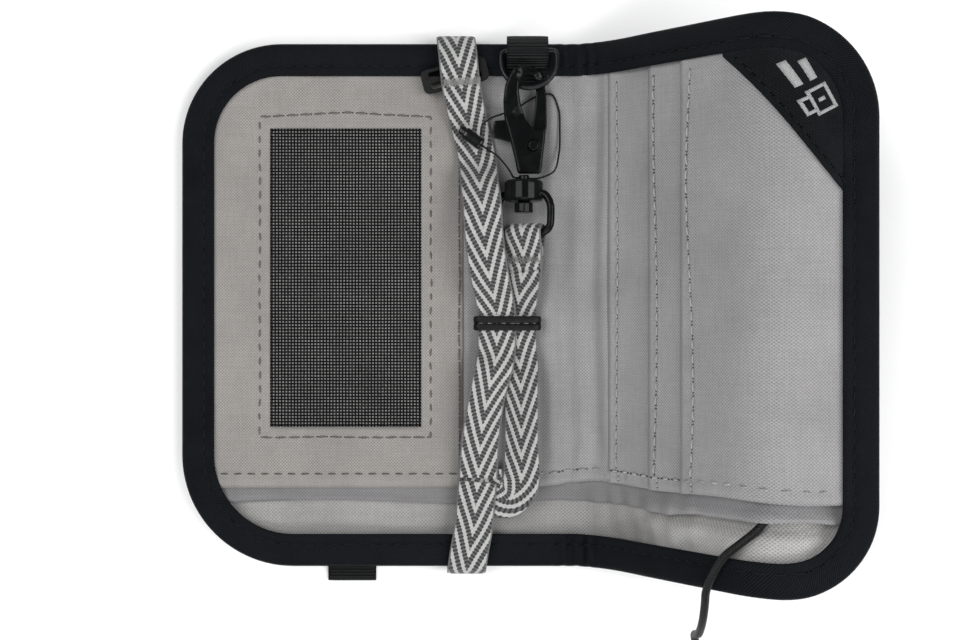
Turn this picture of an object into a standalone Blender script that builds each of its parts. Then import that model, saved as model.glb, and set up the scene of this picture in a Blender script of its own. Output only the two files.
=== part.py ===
"""Open bi-fold travel wallet with a clip-on webbing strap, as separate named parts.

Lengths are millimetres in the design frame: X runs across the open wallet with 0 at the
ring tab, Y runs up the page and Z up from the table.  The left half lies flat; the right
half is described by s, the distance along it from the crease, and n, the height above its
underside, and one bend function lays it along its arch.
"""
import math

import bmesh
import bpy
from mathutils import Matrix, Vector

MM = 0.001
GAP = 0.3

# Wallet outline
HALF_HEIGHT = 68.1
LEFT_LENGTH = 102.4
RIGHT_LENGTH = 77.0
LEFT_CORNER = 26.0
RIGHT_CORNER = 29.0
CREASE_X = 11.7
HINGE_Z = 5.7
BINDING_WIDTH = 8.6
BINDING_WALL = 1.2
BINDING_FLANGE = 0.65
LAYER_INSET = 1.9
STRAP_NOTCHES = [(-26.0, -12.6), (-23.0, -10.2)]
TAB_NOTCHES = [(-53.6, -39.8)]
NOTCH_STEP = 1.0
NOTCH_HEIGHT = 1.25

# Heights of the sewn layers above the underside
SHELL = (1.2, 1.8)
FOIL = (2.1, 2.25)
LINING = (2.55, 3.0)
DIVIDER = (3.3, 3.7)
FRONT = (4.0, 4.45)
SLOT_REAR = (4.75, 5.1)
SLOT_MIDDLE = (5.4, 5.75)
SLOT_FRONT = (6.05, 6.4)
LABEL = (6.7, 7.0)
FLANGE_LEFT = 4.75
FLANGE_RIGHT = 6.7
FLANGE_RISE_LENGTH = 24.0

# Arch of the right half: slope at the crease, on the rise and at the free edge
SLOPE_START = math.radians(18.0)
SLOPE_RISE = math.radians(44.0)
SLOPE_EDGE = math.radians(3.0)
RISE_FULL_AT = 24.0
FALL_FROM = 46.0
FALL_TO = 62.0

# Pockets
WINDOW = (-67.7, -28.3, -31.7, 46.0)
ID_PANEL_EDGE = -17.4
LEFT_HEM_Y = -47.6
RIGHT_HEM_Y = -45.9
DIVIDER_EDGE_Y = -51.2
SLOT_EDGES = (9.4, 23.0, 33.0)
LABEL_START = 45.4

# Hardware
RING_X = -0.4
RING_BAR_Y = 65.4
RING_BAR_Z = 7.9
RING_RADIUS = 7.2
RING_WIRE = 0.7
RING_PITCH = 0.17
RING_ROLL = 0.10
HOOK_X = -1.8
HOOK_Z = 9.9
HOOK_THICKNESS = 2.2
PIVOT = (0.6, 40.6)
EYE_ROLL = math.radians(25.0)
STRAP_WIDTH = 10.0
STRAP_THICKNESS = 0.9
CORD_RADIUS = 1.0

# The design frame sits in the world with the box's bottom centre at the origin
CENTRE_X = -5.95
CENTRE_Y = -0.57


def clear_scene():
    for item in list(bpy.data.objects):
        bpy.data.objects.remove(item, do_unlink=True)


def smoothstep(value):
    value = max(0.0, min(1.0, value))
    return value * value * (3.0 - 2.0 * value)


def make_material(name, colour, roughness, metallic=0.0):
    material = bpy.data.materials.new(name)
    material.use_nodes = True
    shader = material.node_tree.nodes["Principled BSDF"]
    shader.inputs["Base Color"].default_value = (*colour, 1.0)
    shader.inputs["Roughness"].default_value = roughness
    shader.inputs["Metallic"].default_value = metallic
    return material


def finish_object(name, bm, material, origin=(0.0, 0.0, 0.0)):
    """Turn a bmesh in design millimetres into a named object with its origin at origin."""
    bmesh.ops.recalc_face_normals(bm, faces=bm.faces)
    bmesh.ops.translate(bm, verts=bm.verts, vec=-Vector(origin))
    bmesh.ops.scale(bm, verts=bm.verts, vec=(MM, MM, MM))
    mesh = bpy.data.meshes.new(name)
    bm.to_mesh(mesh)
    bm.free()
    mesh.materials.append(material)
    mesh.shade_smooth()
    mesh.set_sharp_from_angle(angle=math.radians(35.0))
    item = bpy.data.objects.new(name, mesh)
    bpy.context.collection.objects.link(item)
    item.location = (Vector(origin) - Vector((CENTRE_X, CENTRE_Y, 0.0))) * MM
    return item


def loft(bm, rings, closed=False):
    """Skin rings of points, each of the same count, with caps unless the run closes."""
    rows = [[bm.verts.new(point) for point in ring] for ring in rings]
    count = len(rows[0])
    last = len(rows) if closed else len(rows) - 1
    for i in range(last):
        here = rows[i]
        there = rows[(i + 1) % len(rows)]
        for j in range(count):
            k = (j + 1) % count
            bm.faces.new((here[j], here[k], there[k], there[j]))
    if not closed:
        bm.faces.new(rows[0])
        bm.faces.new(list(reversed(rows[-1])))


def loft_object(name, rings, material, origin=(0.0, 0.0, 0.0), closed=False):
    bm = bmesh.new()
    loft(bm, rings, closed)
    return finish_object(name, bm, material, origin)


def prism_rings(outline, low, high):
    """Two rings of an outline in XY, at the low and the high level."""
    return [[Vector((x, y, z)) for x, y in outline] for z in (low, high)]


def levelled_plate(name, outline, level, thickness, material, origin):
    """A plate cut to an outline, whose mid height follows level(x, y)."""
    bm = bmesh.new()
    loft(bm, prism_rings(outline, -1.0, 1.0))
    bm.normal_update()
    bmesh.ops.triangulate(bm, faces=[face for face in bm.faces if len(face.verts) > 4])
    spokes = [edge for edge in bm.edges if edge.verts[0].co.z * edge.verts[1].co.z > 0.0]
    bmesh.ops.subdivide_edges(bm, edges=spokes, cuts=1)
    for vert in bm.verts:
        vert.co.z = level(vert.co.x, vert.co.y) + vert.co.z * thickness / 2.0
    return finish_object(name, bm, material, origin)


def cut(target, cutter):
    """Take the cutter's shape out of the target, and keep the cutter as a hidden guide."""
    cutter.hide_render = True
    cutter.display_type = "WIRE"
    modifier = target.modifiers.new("cut", "BOOLEAN")
    modifier.operation = "DIFFERENCE"
    modifier.object = cutter


def join(target, piece):
    """Unite a helper piece with the target."""
    piece.hide_render = True
    piece.display_type = "WIRE"
    modifier = target.modifiers.new("join", "BOOLEAN")
    modifier.operation = "UNION"
    modifier.object = piece


# ---------------------------------------------------------------- the two halves

def slope_at(s):
    rise = smoothstep(s / RISE_FULL_AT)
    fall = smoothstep((s - FALL_FROM) / (FALL_TO - FALL_FROM))
    return SLOPE_START + (SLOPE_RISE - SLOPE_START) * rise - (SLOPE_RISE - SLOPE_EDGE) * fall


def arch_table(step=0.5):
    """Points of the underside's arch at even steps of s, from the crease outwards."""
    x = CREASE_X + HINGE_Z * math.sin(SLOPE_START)
    z = HINGE_Z - HINGE_Z * math.cos(SLOPE_START)
    points = [(x, z)]
    for i in range(int(RIGHT_LENGTH / step) + 4):
        slope = slope_at((i + 0.5) * step)
        x += step * math.cos(slope)
        z += step * math.sin(slope)
        points.append((x, z))
    return points, step


ARCH, ARCH_STEP = arch_table()


def bend(s, y, n):
    """Design point of the right half at distance s, height y on the page and level n."""
    place = max(0.0, s) / ARCH_STEP
    index = min(int(place), len(ARCH) - 2)
    share = place - index
    x = ARCH[index][0] * (1.0 - share) + ARCH[index + 1][0] * share
    z = ARCH[index][1] * (1.0 - share) + ARCH[index + 1][1] * share
    slope = slope_at(s)
    return Vector((x - n * math.sin(slope), y, z + n * math.cos(slope)))


def lay_left(s, y, n):
    return Vector((CREASE_X - s, y, n))


class Half:
    """One half of the wallet: its length, its corner and how it lies."""

    def __init__(self, length, corner, lay):
        self.length = length
        self.corner = corner
        self.lay = lay

    def edge_y(self, s, inset):
        """Half height of the outline, drawn in by inset, at distance s."""
        radius = self.corner - inset
        straight = HALF_HEIGHT - inset
        over = s - (self.length - self.corner)
        if over <= 0.0:
            return straight
        over = min(over, radius)
        return straight - radius + math.sqrt(radius * radius - over * over)

    def stations(self, start, end):
        """Distances from start to end: even on the arch, closer round the corner."""
        bend_from = self.length - self.corner
        middle = min(end, bend_from)
        count = max(1, round((middle - start) / 5.0))
        if self.lay is lay_left:
            count = 1
        values = [start + (middle - start) * i / count for i in range(count + 1)]
        if end > bend_from:
            reach = end - bend_from
            values += [bend_from + reach * math.sin(math.pi * i / 18.0) for i in range(1, 10)]
        return values


LEFT = Half(LEFT_LENGTH, LEFT_CORNER, lay_left)
RIGHT = Half(RIGHT_LENGTH, RIGHT_CORNER, bend)


def add_layer(name, half, start, levels, material, inset=LAYER_INSET, low=None, high=None,
              end=None):
    """A sheet of one half between two levels, trimmed by the outline and by low and high."""
    end = half.length - inset if end is None else end
    rings = []
    for s in half.stations(start, end):
        top = half.edge_y(s, inset)
        bottom = -top
        top = top if high is None else min(top, high)
        bottom = bottom if low is None else max(bottom, low)
        corners = ((bottom, levels[0]), (top, levels[0]), (top, levels[1]), (bottom, levels[1]))
        rings.append([half.lay(s, y, n) for y, n in corners])
    return loft_object(name, rings, material)


def notch_stops():
    """Distances along the left half where its binding starts or ends a step."""
    stops = []
    for low, high in STRAP_NOTCHES + TAB_NOTCHES:
        for x in (low - 2.0 * NOTCH_STEP, low - NOTCH_STEP, low, high, high + NOTCH_STEP,
                  high + 2.0 * NOTCH_STEP):
            stops.append(CREASE_X - x)
    return stops


def outline_path(half, start):
    """Stations (s, y, inward s, inward y) from the crease round the free edge and back."""
    bend_from = half.length - half.corner
    steps = max(2, round(bend_from / 4.0))
    run = [start + (bend_from - start) * i / steps for i in range(steps)]
    if half is LEFT:
        run = sorted([start] + notch_stops())
    path = [(s, HALF_HEIGHT, 0.0, -1.0) for s in run]
    for side in (1.0, -1.0):
        arc = []
        for i in range(10):
            angle = math.pi / 2.0 * i / 9.0
            out_s = math.sin(angle)
            out_y = math.cos(angle)
            s = bend_from + half.corner * out_s
            y = HALF_HEIGHT - half.corner + half.corner * out_y
            arc.append((s, side * y, -out_s, -side * out_y))
        path += arc if side > 0.0 else list(reversed(arc))
    path += [(s, -HALF_HEIGHT, 0.0, 1.0) for s in reversed(run)]
    return path


def notch_at(half, s, y):
    """Cut-back and lift, each 0 to 1, of the lower flange where the strap or tab passes."""
    if half is not LEFT or abs(y) < HALF_HEIGHT - 0.01:
        return 0.0, 0.0
    x = CREASE_X - s
    spans = STRAP_NOTCHES[:1] if y > 0.0 else STRAP_NOTCHES[1:] + TAB_NOTCHES
    outside = min(max(low - x, x - high) for low, high in spans) / NOTCH_STEP
    cut_back = max(0.0, min(1.0, 2.0 - outside))
    lift = max(0.0, min(1.0, 1.0 - outside))
    return cut_back, lift


def add_binding(name, half, start, material):
    """The folded tape round one half: a U whose mouth faces inwards."""
    path = outline_path(half, start)
    rings = []
    for s, y, in_s, in_y in path:
        cut_back, lift = notch_at(half, s, y)
        foot = NOTCH_HEIGHT * lift
        reach = BINDING_WIDTH + (BINDING_WALL + 0.2 - BINDING_WIDTH) * cut_back
        rise = min(1.0, s / FLANGE_RISE_LENGTH)
        flange = FLANGE_LEFT
        if half is RIGHT:
            flange += (FLANGE_RIGHT - FLANGE_LEFT) * rise
        profile = (
            (0.0, foot), (reach, foot), (reach, foot + BINDING_FLANGE),
            (BINDING_WALL, foot + BINDING_FLANGE), (BINDING_WALL, flange),
            (BINDING_WIDTH, flange), (BINDING_WIDTH, flange + BINDING_FLANGE),
            (0.0, flange + BINDING_FLANGE))
        rings.append([half.lay(s + in_s * d, y + in_y * d, n) for d, n in profile])
    return loft_object(name, rings, material)


# ---------------------------------------------------------------- smooth paths

def catmull(points, samples):
    """Samples of a smooth curve through tuples, whose first three values are a place."""
    steps = [max(0.01, math.dist(a[:3], b[:3])) for a, b in zip(points, points[1:])]
    slopes = []
    for i, point in enumerate(points):
        before = steps[max(i - 1, 0)]
        after = steps[min(i, len(steps) - 1)]
        left = points[max(i - 1, 0)]
        right = points[min(i + 1, len(points) - 1)]
        slope = []
        for a, b, c in zip(left, point, right):
            back = (b - a) / before
            ahead = (c - b) / after
            if i == 0:
                back = ahead
            if i == len(points) - 1:
                ahead = back
            slope.append((back * after + ahead * before) / (before + after))
        slopes.append(slope)
    spans = len(points) - 1
    result = []
    for i in range(samples):
        place = spans * i / (samples - 1)
        k = min(int(place), spans - 1)
        t = place - k
        rise = t * t * (3.0 - 2.0 * t)
        value = []
        for p0, p1, m0, m1 in zip(points[k], points[k + 1], slopes[k], slopes[k + 1]):
            pull = t * (1.0 - t) * ((1.0 - t) * m0 - t * m1) * steps[k]
            value.append(p0 + (p1 - p0) * rise + pull)
        result.append(tuple(value))
    return result


def tangents(points):
    result = []
    for i in range(len(points)):
        ahead = points[min(i + 1, len(points) - 1)]
        behind = points[max(i - 1, 0)]
        result.append((ahead - behind).normalized())
    return result


def ribbon_rings(stations, width, thickness, upright):
    """Flat sections along (x, y, z, roll) stations.

    The width lies along X turned by the roll.  Where upright is set it lies level, square
    to the run, before the roll is applied.
    """
    points = [Vector(station[:3]) for station in stations]
    rings = []
    for point, run, station in zip(points, tangents(points), stations):
        roll = math.radians(station[3])
        side = Vector((-run.y, run.x, 0.0)).normalized() if upright else Vector((1.0, 0.0, 0.0))
        across = side * math.cos(roll) + Vector((0.0, 0.0, 1.0)) * math.sin(roll)
        across = (across - run * across.dot(run)).normalized()
        normal = run.cross(across).normalized()
        half = across * (width / 2.0)
        up = normal * (thickness / 2.0)
        rings.append([point - half - up, point + half - up, point + half + up, point - half + up])
    return rings


def tube_rings(points, radius, sides, closed=False):
    """Round sections along points, carried without twist."""
    count = len(points)
    rings = []
    frame = Vector((0.0, 0.0, 1.0))
    for i, point in enumerate(points):
        ahead = points[(i + 1) % count] if closed else points[min(i + 1, count - 1)]
        behind = points[i - 1] if closed else points[max(i - 1, 0)]
        run = (ahead - behind).normalized()
        frame = (frame - run * frame.dot(run)).normalized()
        side = run.cross(frame)
        width = radius[i] if isinstance(radius, list) else radius
        ring = []
        for j in range(sides):
            angle = 2.0 * math.pi * j / sides
            ring.append(point + (frame * math.cos(angle) + side * math.sin(angle)) * width)
        rings.append(ring)
    return rings


def turned_rings(profile, sides, place):
    """A body turned about Y: profile holds (y, radius) pairs, place maps local to design."""
    rings = []
    for y, radius in profile:
        ring = []
        for j in range(sides):
            angle = 2.0 * math.pi * j / sides
            ring.append(place(radius * math.cos(angle), y, radius * math.sin(angle)))
        rings.append(ring)
    return rings


# ---------------------------------------------------------------- fabric parts

def add_left_half(mats):
    start = 0.2
    add_layer("back_shell_left", LEFT, start, SHELL, mats["shell"])
    add_layer("shield_foil_left", LEFT, start, FOIL, mats["foil"], inset=4.0)
    add_layer("lining_left", LEFT, start, LINING, mats["lining"])
    add_layer("cash_divider_left", LEFT, start, DIVIDER, mats["divider"], low=DIVIDER_EDGE_Y)
    panel_start = CREASE_X - ID_PANEL_EDGE
    panel = add_layer("id_pocket_panel", LEFT, panel_start, FRONT, mats["panel"],
                      low=LEFT_HEM_Y)
    x0, x1, y0, y1 = WINDOW
    corners = ((x0, y0), (x1, y0), (x1, y1), (x0, y1))
    window = loft_object("window_cutter", prism_rings(corners, FRONT[0] - 1.0, FRONT[1] + 1.0),
                         mats["panel"])
    cut(panel, window)
    corners = ((x0 + GAP, y0 + GAP), (x1 - GAP, y0 + GAP), (x1 - GAP, y1 - GAP),
               (x0 + GAP, y1 - GAP))
    loft_object("id_window_mesh", prism_rings(corners, FRONT[0] + 0.05, FRONT[1] - 0.1),
                mats["mesh"])
    add_layer("spine_panel", LEFT, start, FRONT, mats["panel"], low=LEFT_HEM_Y,
              end=panel_start - GAP)
    add_binding("binding_left", LEFT, start, mats["binding"])
    tab = ((-53.0, -71.4), (-40.4, -71.4), (-40.4, -58.0), (-53.0, -58.0))
    loft_object("pull_tab", prism_rings(tab, 0.0, 0.9), mats["webbing"])


def add_right_half(mats):
    start = 0.25
    parts = [
        add_layer("back_shell_right", RIGHT, start, SHELL, mats["shell"]),
        add_layer("shield_foil_right", RIGHT, start, FOIL, mats["foil"], inset=4.0),
        add_layer("lining_right", RIGHT, start, LINING, mats["lining"]),
        add_layer("cash_divider_right", RIGHT, start, DIVIDER, mats["divider"],
                  low=DIVIDER_EDGE_Y),
        add_layer("card_back_panel", RIGHT, start, FRONT, mats["panel_cool"],
                  low=RIGHT_HEM_Y),
    ]
    slots = (("card_slot_rear", SLOT_REAR), ("card_slot_middle", SLOT_MIDDLE),
             ("card_slot_front", SLOT_FRONT))
    for (name, levels), edge in zip(slots, SLOT_EDGES):
        parts.append(add_layer(name, RIGHT, edge, levels, mats["panel_cool"],
                               low=RIGHT_HEM_Y))
    parts.append(add_corner_label(mats))
    parts.append(add_binding("binding_right", RIGHT, start, mats["binding"]))
    return parts


def add_corner_label(mats):
    """A patch across the upper free corner, cut to the inside of the binding."""
    inset = BINDING_WIDTH + GAP
    low_s, high_s = LABEL_START, RIGHT_LENGTH - inset
    top_y, bottom_y = HALF_HEIGHT - inset, 25.5
    rings = []
    count = 14
    for i in range(count + 1):
        s = low_s + (high_s - low_s) * math.sin(math.pi / 2.0 * (0.06 + 0.94 * i / count))
        top = RIGHT.edge_y(s, inset)
        bottom = top_y + (bottom_y - top_y) * (s - low_s) / (high_s - low_s)
        corners = ((bottom, LABEL[0]), (top, LABEL[0]), (top, LABEL[1]), (bottom, LABEL[1]))
        rings.append([RIGHT.lay(s, y, n) for y, n in corners])
    return loft_object("corner_label", rings, mats["label"])


# ---------------------------------------------------------------- ring, hook and strap

def ring_level(x, y):
    return RING_BAR_Z + (RING_BAR_Y - y) * RING_PITCH + (x - RING_X) * RING_ROLL


def add_ring_tab(mats):
    """Doubled webbing over the ring's bar, its fold standing past the top edge."""
    left, right = -6.1, 4.5
    middle = [(57.0, 5.9), (63.0, 5.9), (66.4, 6.0), (68.4, 6.8), (69.0, 8.2),
              (68.0, 9.5), (65.6, 10.1), (63.4, 9.3), (62.2, 7.5), (61.2, 7.0)]
    smooth = catmull(middle, 25)
    thickness = 0.4
    points = [Vector((0.0, y, z)) for y, z in smooth]
    rings = []
    for point, run in zip(points, tangents(points)):
        normal = Vector((0.0, -run.z, run.y)) * (thickness / 2.0)
        low = point - normal
        high = point + normal
        rings.append([Vector((left, low.y, low.z)), Vector((right, low.y, low.z)),
                      Vector((right, high.y, high.z)), Vector((left, high.y, high.z))])
    loft_object("ring_tab", rings, mats["webbing"])


def add_d_ring(mats, pivot):
    """A round-wire D whose straight bar sits in the tab."""
    flat = []
    corner = 1.4
    for i in range(5):
        flat.append((-RING_RADIUS + corner + (2.0 * RING_RADIUS - 2.0 * corner) * i / 4.0, 0.0))
    for i in range(1, 4):
        angle = math.pi / 2.0 * i / 4.0
        flat.append((RING_RADIUS - corner + corner * math.sin(angle),
                     -corner + corner * math.cos(angle)))
    drop = 2.6
    for i in range(15):
        angle = math.pi * i / 14.0
        flat.append((RING_RADIUS * math.cos(angle), -drop - RING_RADIUS * math.sin(angle)))
    for i in range(1, 4):
        angle = math.pi / 2.0 * i / 4.0
        flat.append((-RING_RADIUS + corner - corner * math.cos(angle),
                     -corner + corner * math.sin(angle)))
    points = []
    for x, y in flat:
        x += RING_X
        y += RING_BAR_Y
        points.append(Vector((x, y, ring_level(x, y))))
    rings = tube_rings(points, RING_WIRE, 8, closed=True)
    loft_object("d_ring", rings, mats["metal"], origin=pivot, closed=True)


def hook_level(x, y):
    """Mid height of the hook: level at the plate, high on the arm and low at the nose."""
    reach = smoothstep((y - 48.0) / 7.0)
    across = max(-1.0, min(1.0, (x + 0.2) / 2.8))
    return 10.2 + reach * (-0.6 - 2.1 * across)


def add_hook_frame(mats, pivot):
    outline = (
        (-0.6, 61.2), (-2.6, 61.0), (-4.4, 60.0), (-5.7, 58.2), (-6.7, 55.6), (-7.1, 52.0),
        (-6.8, 47.5), (-5.4, 42.5), (-4.2, 37.5), (-3.4, 33.5), (2.6, 33.5), (3.1, 38.0),
        (3.7, 43.0), (3.6, 44.9), (0.6, 44.9), (-1.3, 47.2), (-2.6, 51.0), (-3.1, 54.4),
        (-3.0, 56.4), (-2.2, 58.0), (-0.6, 58.8), (0.8, 58.4), (1.6, 57.4), (3.7, 57.9),
        (3.2, 59.4), (1.4, 60.8))
    frame = levelled_plate("snap_hook_frame", outline, hook_level, HOOK_THICKNESS,
                           mats["hook"], pivot)
    bore = turned_z("rivet_bore", PIVOT, 1.15, 5.0, 13.0, mats["hook"])
    cut(frame, bore)
    bevel = frame.modifiers.new("edges", "BEVEL")
    bevel.width = 0.45 * MM
    bevel.segments = 1
    bevel.limit_method = "ANGLE"
    bevel.angle_limit = math.radians(40.0)


def turned_z(name, centre, radius, low, high, material, origin=(0.0, 0.0, 0.0), sides=16):
    """A plain upright cylinder."""
    rings = []
    for z in (low, high):
        ring = []
        for j in range(sides):
            angle = 2.0 * math.pi * j / sides
            ring.append(Vector((centre[0] + radius * math.cos(angle),
                                centre[1] + radius * math.sin(angle), z)))
        rings.append(ring)
    return loft_object(name, rings, material, origin=origin)


def add_gate(mats):
    """The latch: an arm that closes the mouth and a thumb lever on the other side."""
    outline = (
        (1.4, 56.3), (3.7, 56.6), (4.1, 53.0), (4.2, 46.0), (3.2, 40.6), (2.0, 38.4),
        (-0.6, 38.2), (-4.2, 41.6), (-7.6, 42.6), (-9.4, 43.0), (-9.9, 44.8), (-9.3, 47.4),
        (-6.4, 47.6), (-3.0, 44.4), (-0.4, 43.6), (0.4, 46.4), (1.2, 51.0))
    low, high = 6.6, 8.5
    origin = (PIVOT[0], PIVOT[1], 7.5)
    gate = loft_object("hook_gate", prism_rings(outline, low, high), mats["hook"],
                       origin=origin)
    bore = turned_z("gate_bore", PIVOT, 1.15, 5.0, 9.6, mats["hook"])
    cut(gate, bore)


def add_rivet(mats, pivot):
    """A headed pin through the plate and the gate."""
    steps = ((5.9, 1.7), (6.3, 1.7), (6.3, 0.8), (11.65, 0.8), (11.65, 1.5), (12.05, 1.2))
    rings = []
    for z, radius in steps:
        ring = []
        for j in range(12):
            angle = 2.0 * math.pi * j / 12
            ring.append(Vector((PIVOT[0] + radius * math.cos(angle),
                                PIVOT[1] + radius * math.sin(angle), z)))
        rings.append(ring)
    loft_object("gate_rivet", rings, mats["hook"], origin=pivot)


def add_gate_spring(mats, pivot):
    """A flat leaf under the plate that pushes the gate shut."""
    leaf = [(0.4, 34.2, 7.9, 90.0), (0.5, 35.6, 7.8, 90.0), (0.7, 36.8, 7.6, 90.0),
            (0.9, 37.7, 7.4, 90.0)]
    rings = ribbon_rings(catmull(leaf, 7), 1.3, 0.3, upright=True)
    loft_object("gate_spring", rings, mats["metal"], origin=pivot)


def axis_point(x, y, z):
    return Vector((HOOK_X + x, y, HOOK_Z + z))


def eye_point(x, y, z):
    """Design point of the swivel eye, which hangs rolled about the hook's long axis."""
    across = x * math.cos(EYE_ROLL) - z * math.sin(EYE_ROLL)
    above = x * math.sin(EYE_ROLL) + z * math.cos(EYE_ROLL)
    return Vector((HOOK_X + across, y, HOOK_Z + above))


def add_swivel(mats, pivot, eye_origin):
    stud_profile = ((33.2, 1.4), (26.1, 1.4), (26.1, 2.4), (23.6, 2.4))
    loft_object("swivel_stud", turned_rings(stud_profile, 12, axis_point), mats["hook"],
                origin=pivot)
    body_profile = ((31.9, 4.4), (31.3, 5.0), (27.0, 5.0), (26.5, 4.6))
    eye = loft_object("swivel_eye", turned_rings(body_profile, 20, eye_point), mats["hook"],
                      origin=eye_origin)
    half_bow = [(3.6, 28.6), (5.6, 28.2), (7.0, 26.4), (7.4, 22.6), (6.9, 19.6), (5.2, 18.4),
                (0.0, 18.2)]
    bow = half_bow + [(-x, y) for x, y in reversed(half_bow[:-1])]
    points = [eye_point(x, y, 0.0) for x, y in catmull(bow, 37)]
    wire = loft_object("eye_bow", tube_rings(points, 1.05, 8), mats["hook"], origin=eye_origin)
    join(eye, wire)
    bore = loft_object("stud_bore", turned_rings(((33.0, 1.75), (25.0, 1.75)), 12, axis_point),
                       mats["hook"], origin=eye_origin)
    cut(eye, bore)


def add_end_loop(mats, eye_origin):
    """The strap's sewn end, doubled round the eye's bar."""
    half = [(9.4, 0.65), (12.0, 0.75), (15.0, 1.15), (17.2, 1.7), (18.6, 1.9), (19.9, 1.4)]
    section = half + [(20.45, 0.0)] + [(y, -z) for y, z in reversed(half)]
    smooth = catmull(section, 33)
    width = STRAP_WIDTH / 2.0
    shift = 0.4
    local = [Vector((0.0, y, z)) for y, z in smooth]
    rings = []
    for point, run in zip(local, tangents(local)):
        normal = Vector((0.0, -run.z, run.y)) * (STRAP_THICKNESS / 2.0)
        ring = []
        for x, corner in ((-width, point - normal), (width, point - normal),
                          (width, point + normal), (-width, point + normal)):
            ring.append(eye_point(x + shift, corner.y, corner.z))
        rings.append(ring)
    loft_object("strap_end_loop", rings, mats["strap"], origin=eye_origin)


def add_strap(mats):
    """The strap's wrap round the left half, and its run from the eye to the fold."""
    wrap = [
        (-13.6, -45.6, 7.4, 0.0), (-14.0, -50.0, 7.3, 0.0), (-14.6, -57.0, 7.2, 0.0),
        (-15.8, -64.0, 7.0, 0.0), (-16.4, -68.2, 6.5, 0.0), (-16.6, -69.7, 3.9, 0.0),
        (-16.6, -69.6, 1.6, 0.0), (-16.7, -68.3, 0.55, 0.0), (-16.8, -67.0, 0.5, 0.0),
        (-16.8, -64.5, 0.5, 0.0),
        (-17.2, -40.0, 0.5, 0.0), (-18.0, 0.0, 0.5, 0.0), (-18.8, 40.0, 0.5, 0.0),
        (-19.2, 64.5, 0.5, 0.0), (-19.2, 67.0, 0.5, 0.0), (-19.3, 68.3, 0.55, 0.0), (-19.3, 69.6, 1.6, 0.0),
        (-19.3, 69.7, 3.9, 0.0), (-19.2, 68.6, 7.0, 0.0), (-18.8, 65.5, 8.6, 0.0),
        (-17.8, 56.1, 8.5, 0.0), (-17.0, 52.0, 8.3, 0.0), (-15.8, 46.6, 6.0, 0.0), (-14.3, 40.7, 5.6, 0.0)]
    front = [
        (-14.2, 39.9, 5.6, 0.0), (-13.6, 37.0, 6.4, 0.0), (-13.1, 31.0, 10.4, 0.0),
        (-12.5, 26.0, 12.3, 0.0), (-12.1, 19.0, 12.6, 0.0), (-11.3, 12.0, 12.6, 0.0),
        (-10.4, 6.5, 11.4, 0.0), (-9.3, 1.5, 8.8, 0.0), (-8.8, -1.2, 7.8, 0.0),
        (-8.7, -5.0, 7.7, 0.0),
        (-8.7, -10.0, 7.7, 0.0), (-8.8, -12.5, 7.95, 0.0), (-9.4, -15.8, 9.0, -6.0), (-10.3, -19.5, 8.8, -14.0),
        (-12.3, -29.9, 7.9, -16.0), (-13.3, -40.3, 7.4, -6.0), (-13.5, -44.6, 7.4, 0.0)]
    run = [
        (-2.2, 7.8, 9.6, 25.0), (-2.6, 4.5, 8.0, 14.0), (-3.1, 0.5, 6.6, 2.0),
        (-3.2, -5.0, 6.45, 0.0), (-3.2, -10.0, 6.45, 0.0), (-3.0, -12.5, 6.55, 3.0),
        (-2.4, -15.8, 7.6, 26.0),
        (-2.0, -19.5, 9.4, 56.0), (-2.0, -29.9, 9.6, 66.0), (-2.2, -40.0, 9.6, 66.0)]
    loft_object("strap_wrap", ribbon_rings(catmull(wrap, 91), STRAP_WIDTH, STRAP_THICKNESS,
                                           upright=False), mats["strap"])
    loft_object("strap_front", ribbon_rings(catmull(front, 49), STRAP_WIDTH, STRAP_THICKNESS,
                                            upright=False), mats["strap"])
    loft_object("strap_run", ribbon_rings(catmull(run, 41), STRAP_WIDTH, STRAP_THICKNESS,
                                          upright=False), mats["strap"])
    fold = [
        (-2.1, -41.3, 9.6, 66.0), (-1.2, -46.0, 9.6, 62.0), (0.2, -51.0, 9.4, 62.0),
        (-0.8, -54.8, 9.2, 66.0), (-4.0, -55.6, 9.2, 66.0), (-6.6, -53.0, 8.8, 52.0)]
    loft_object("strap_fold", ribbon_rings(catmull(fold, 31), 8.0, STRAP_THICKNESS,
                                           upright=True), mats["strap"])


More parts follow.
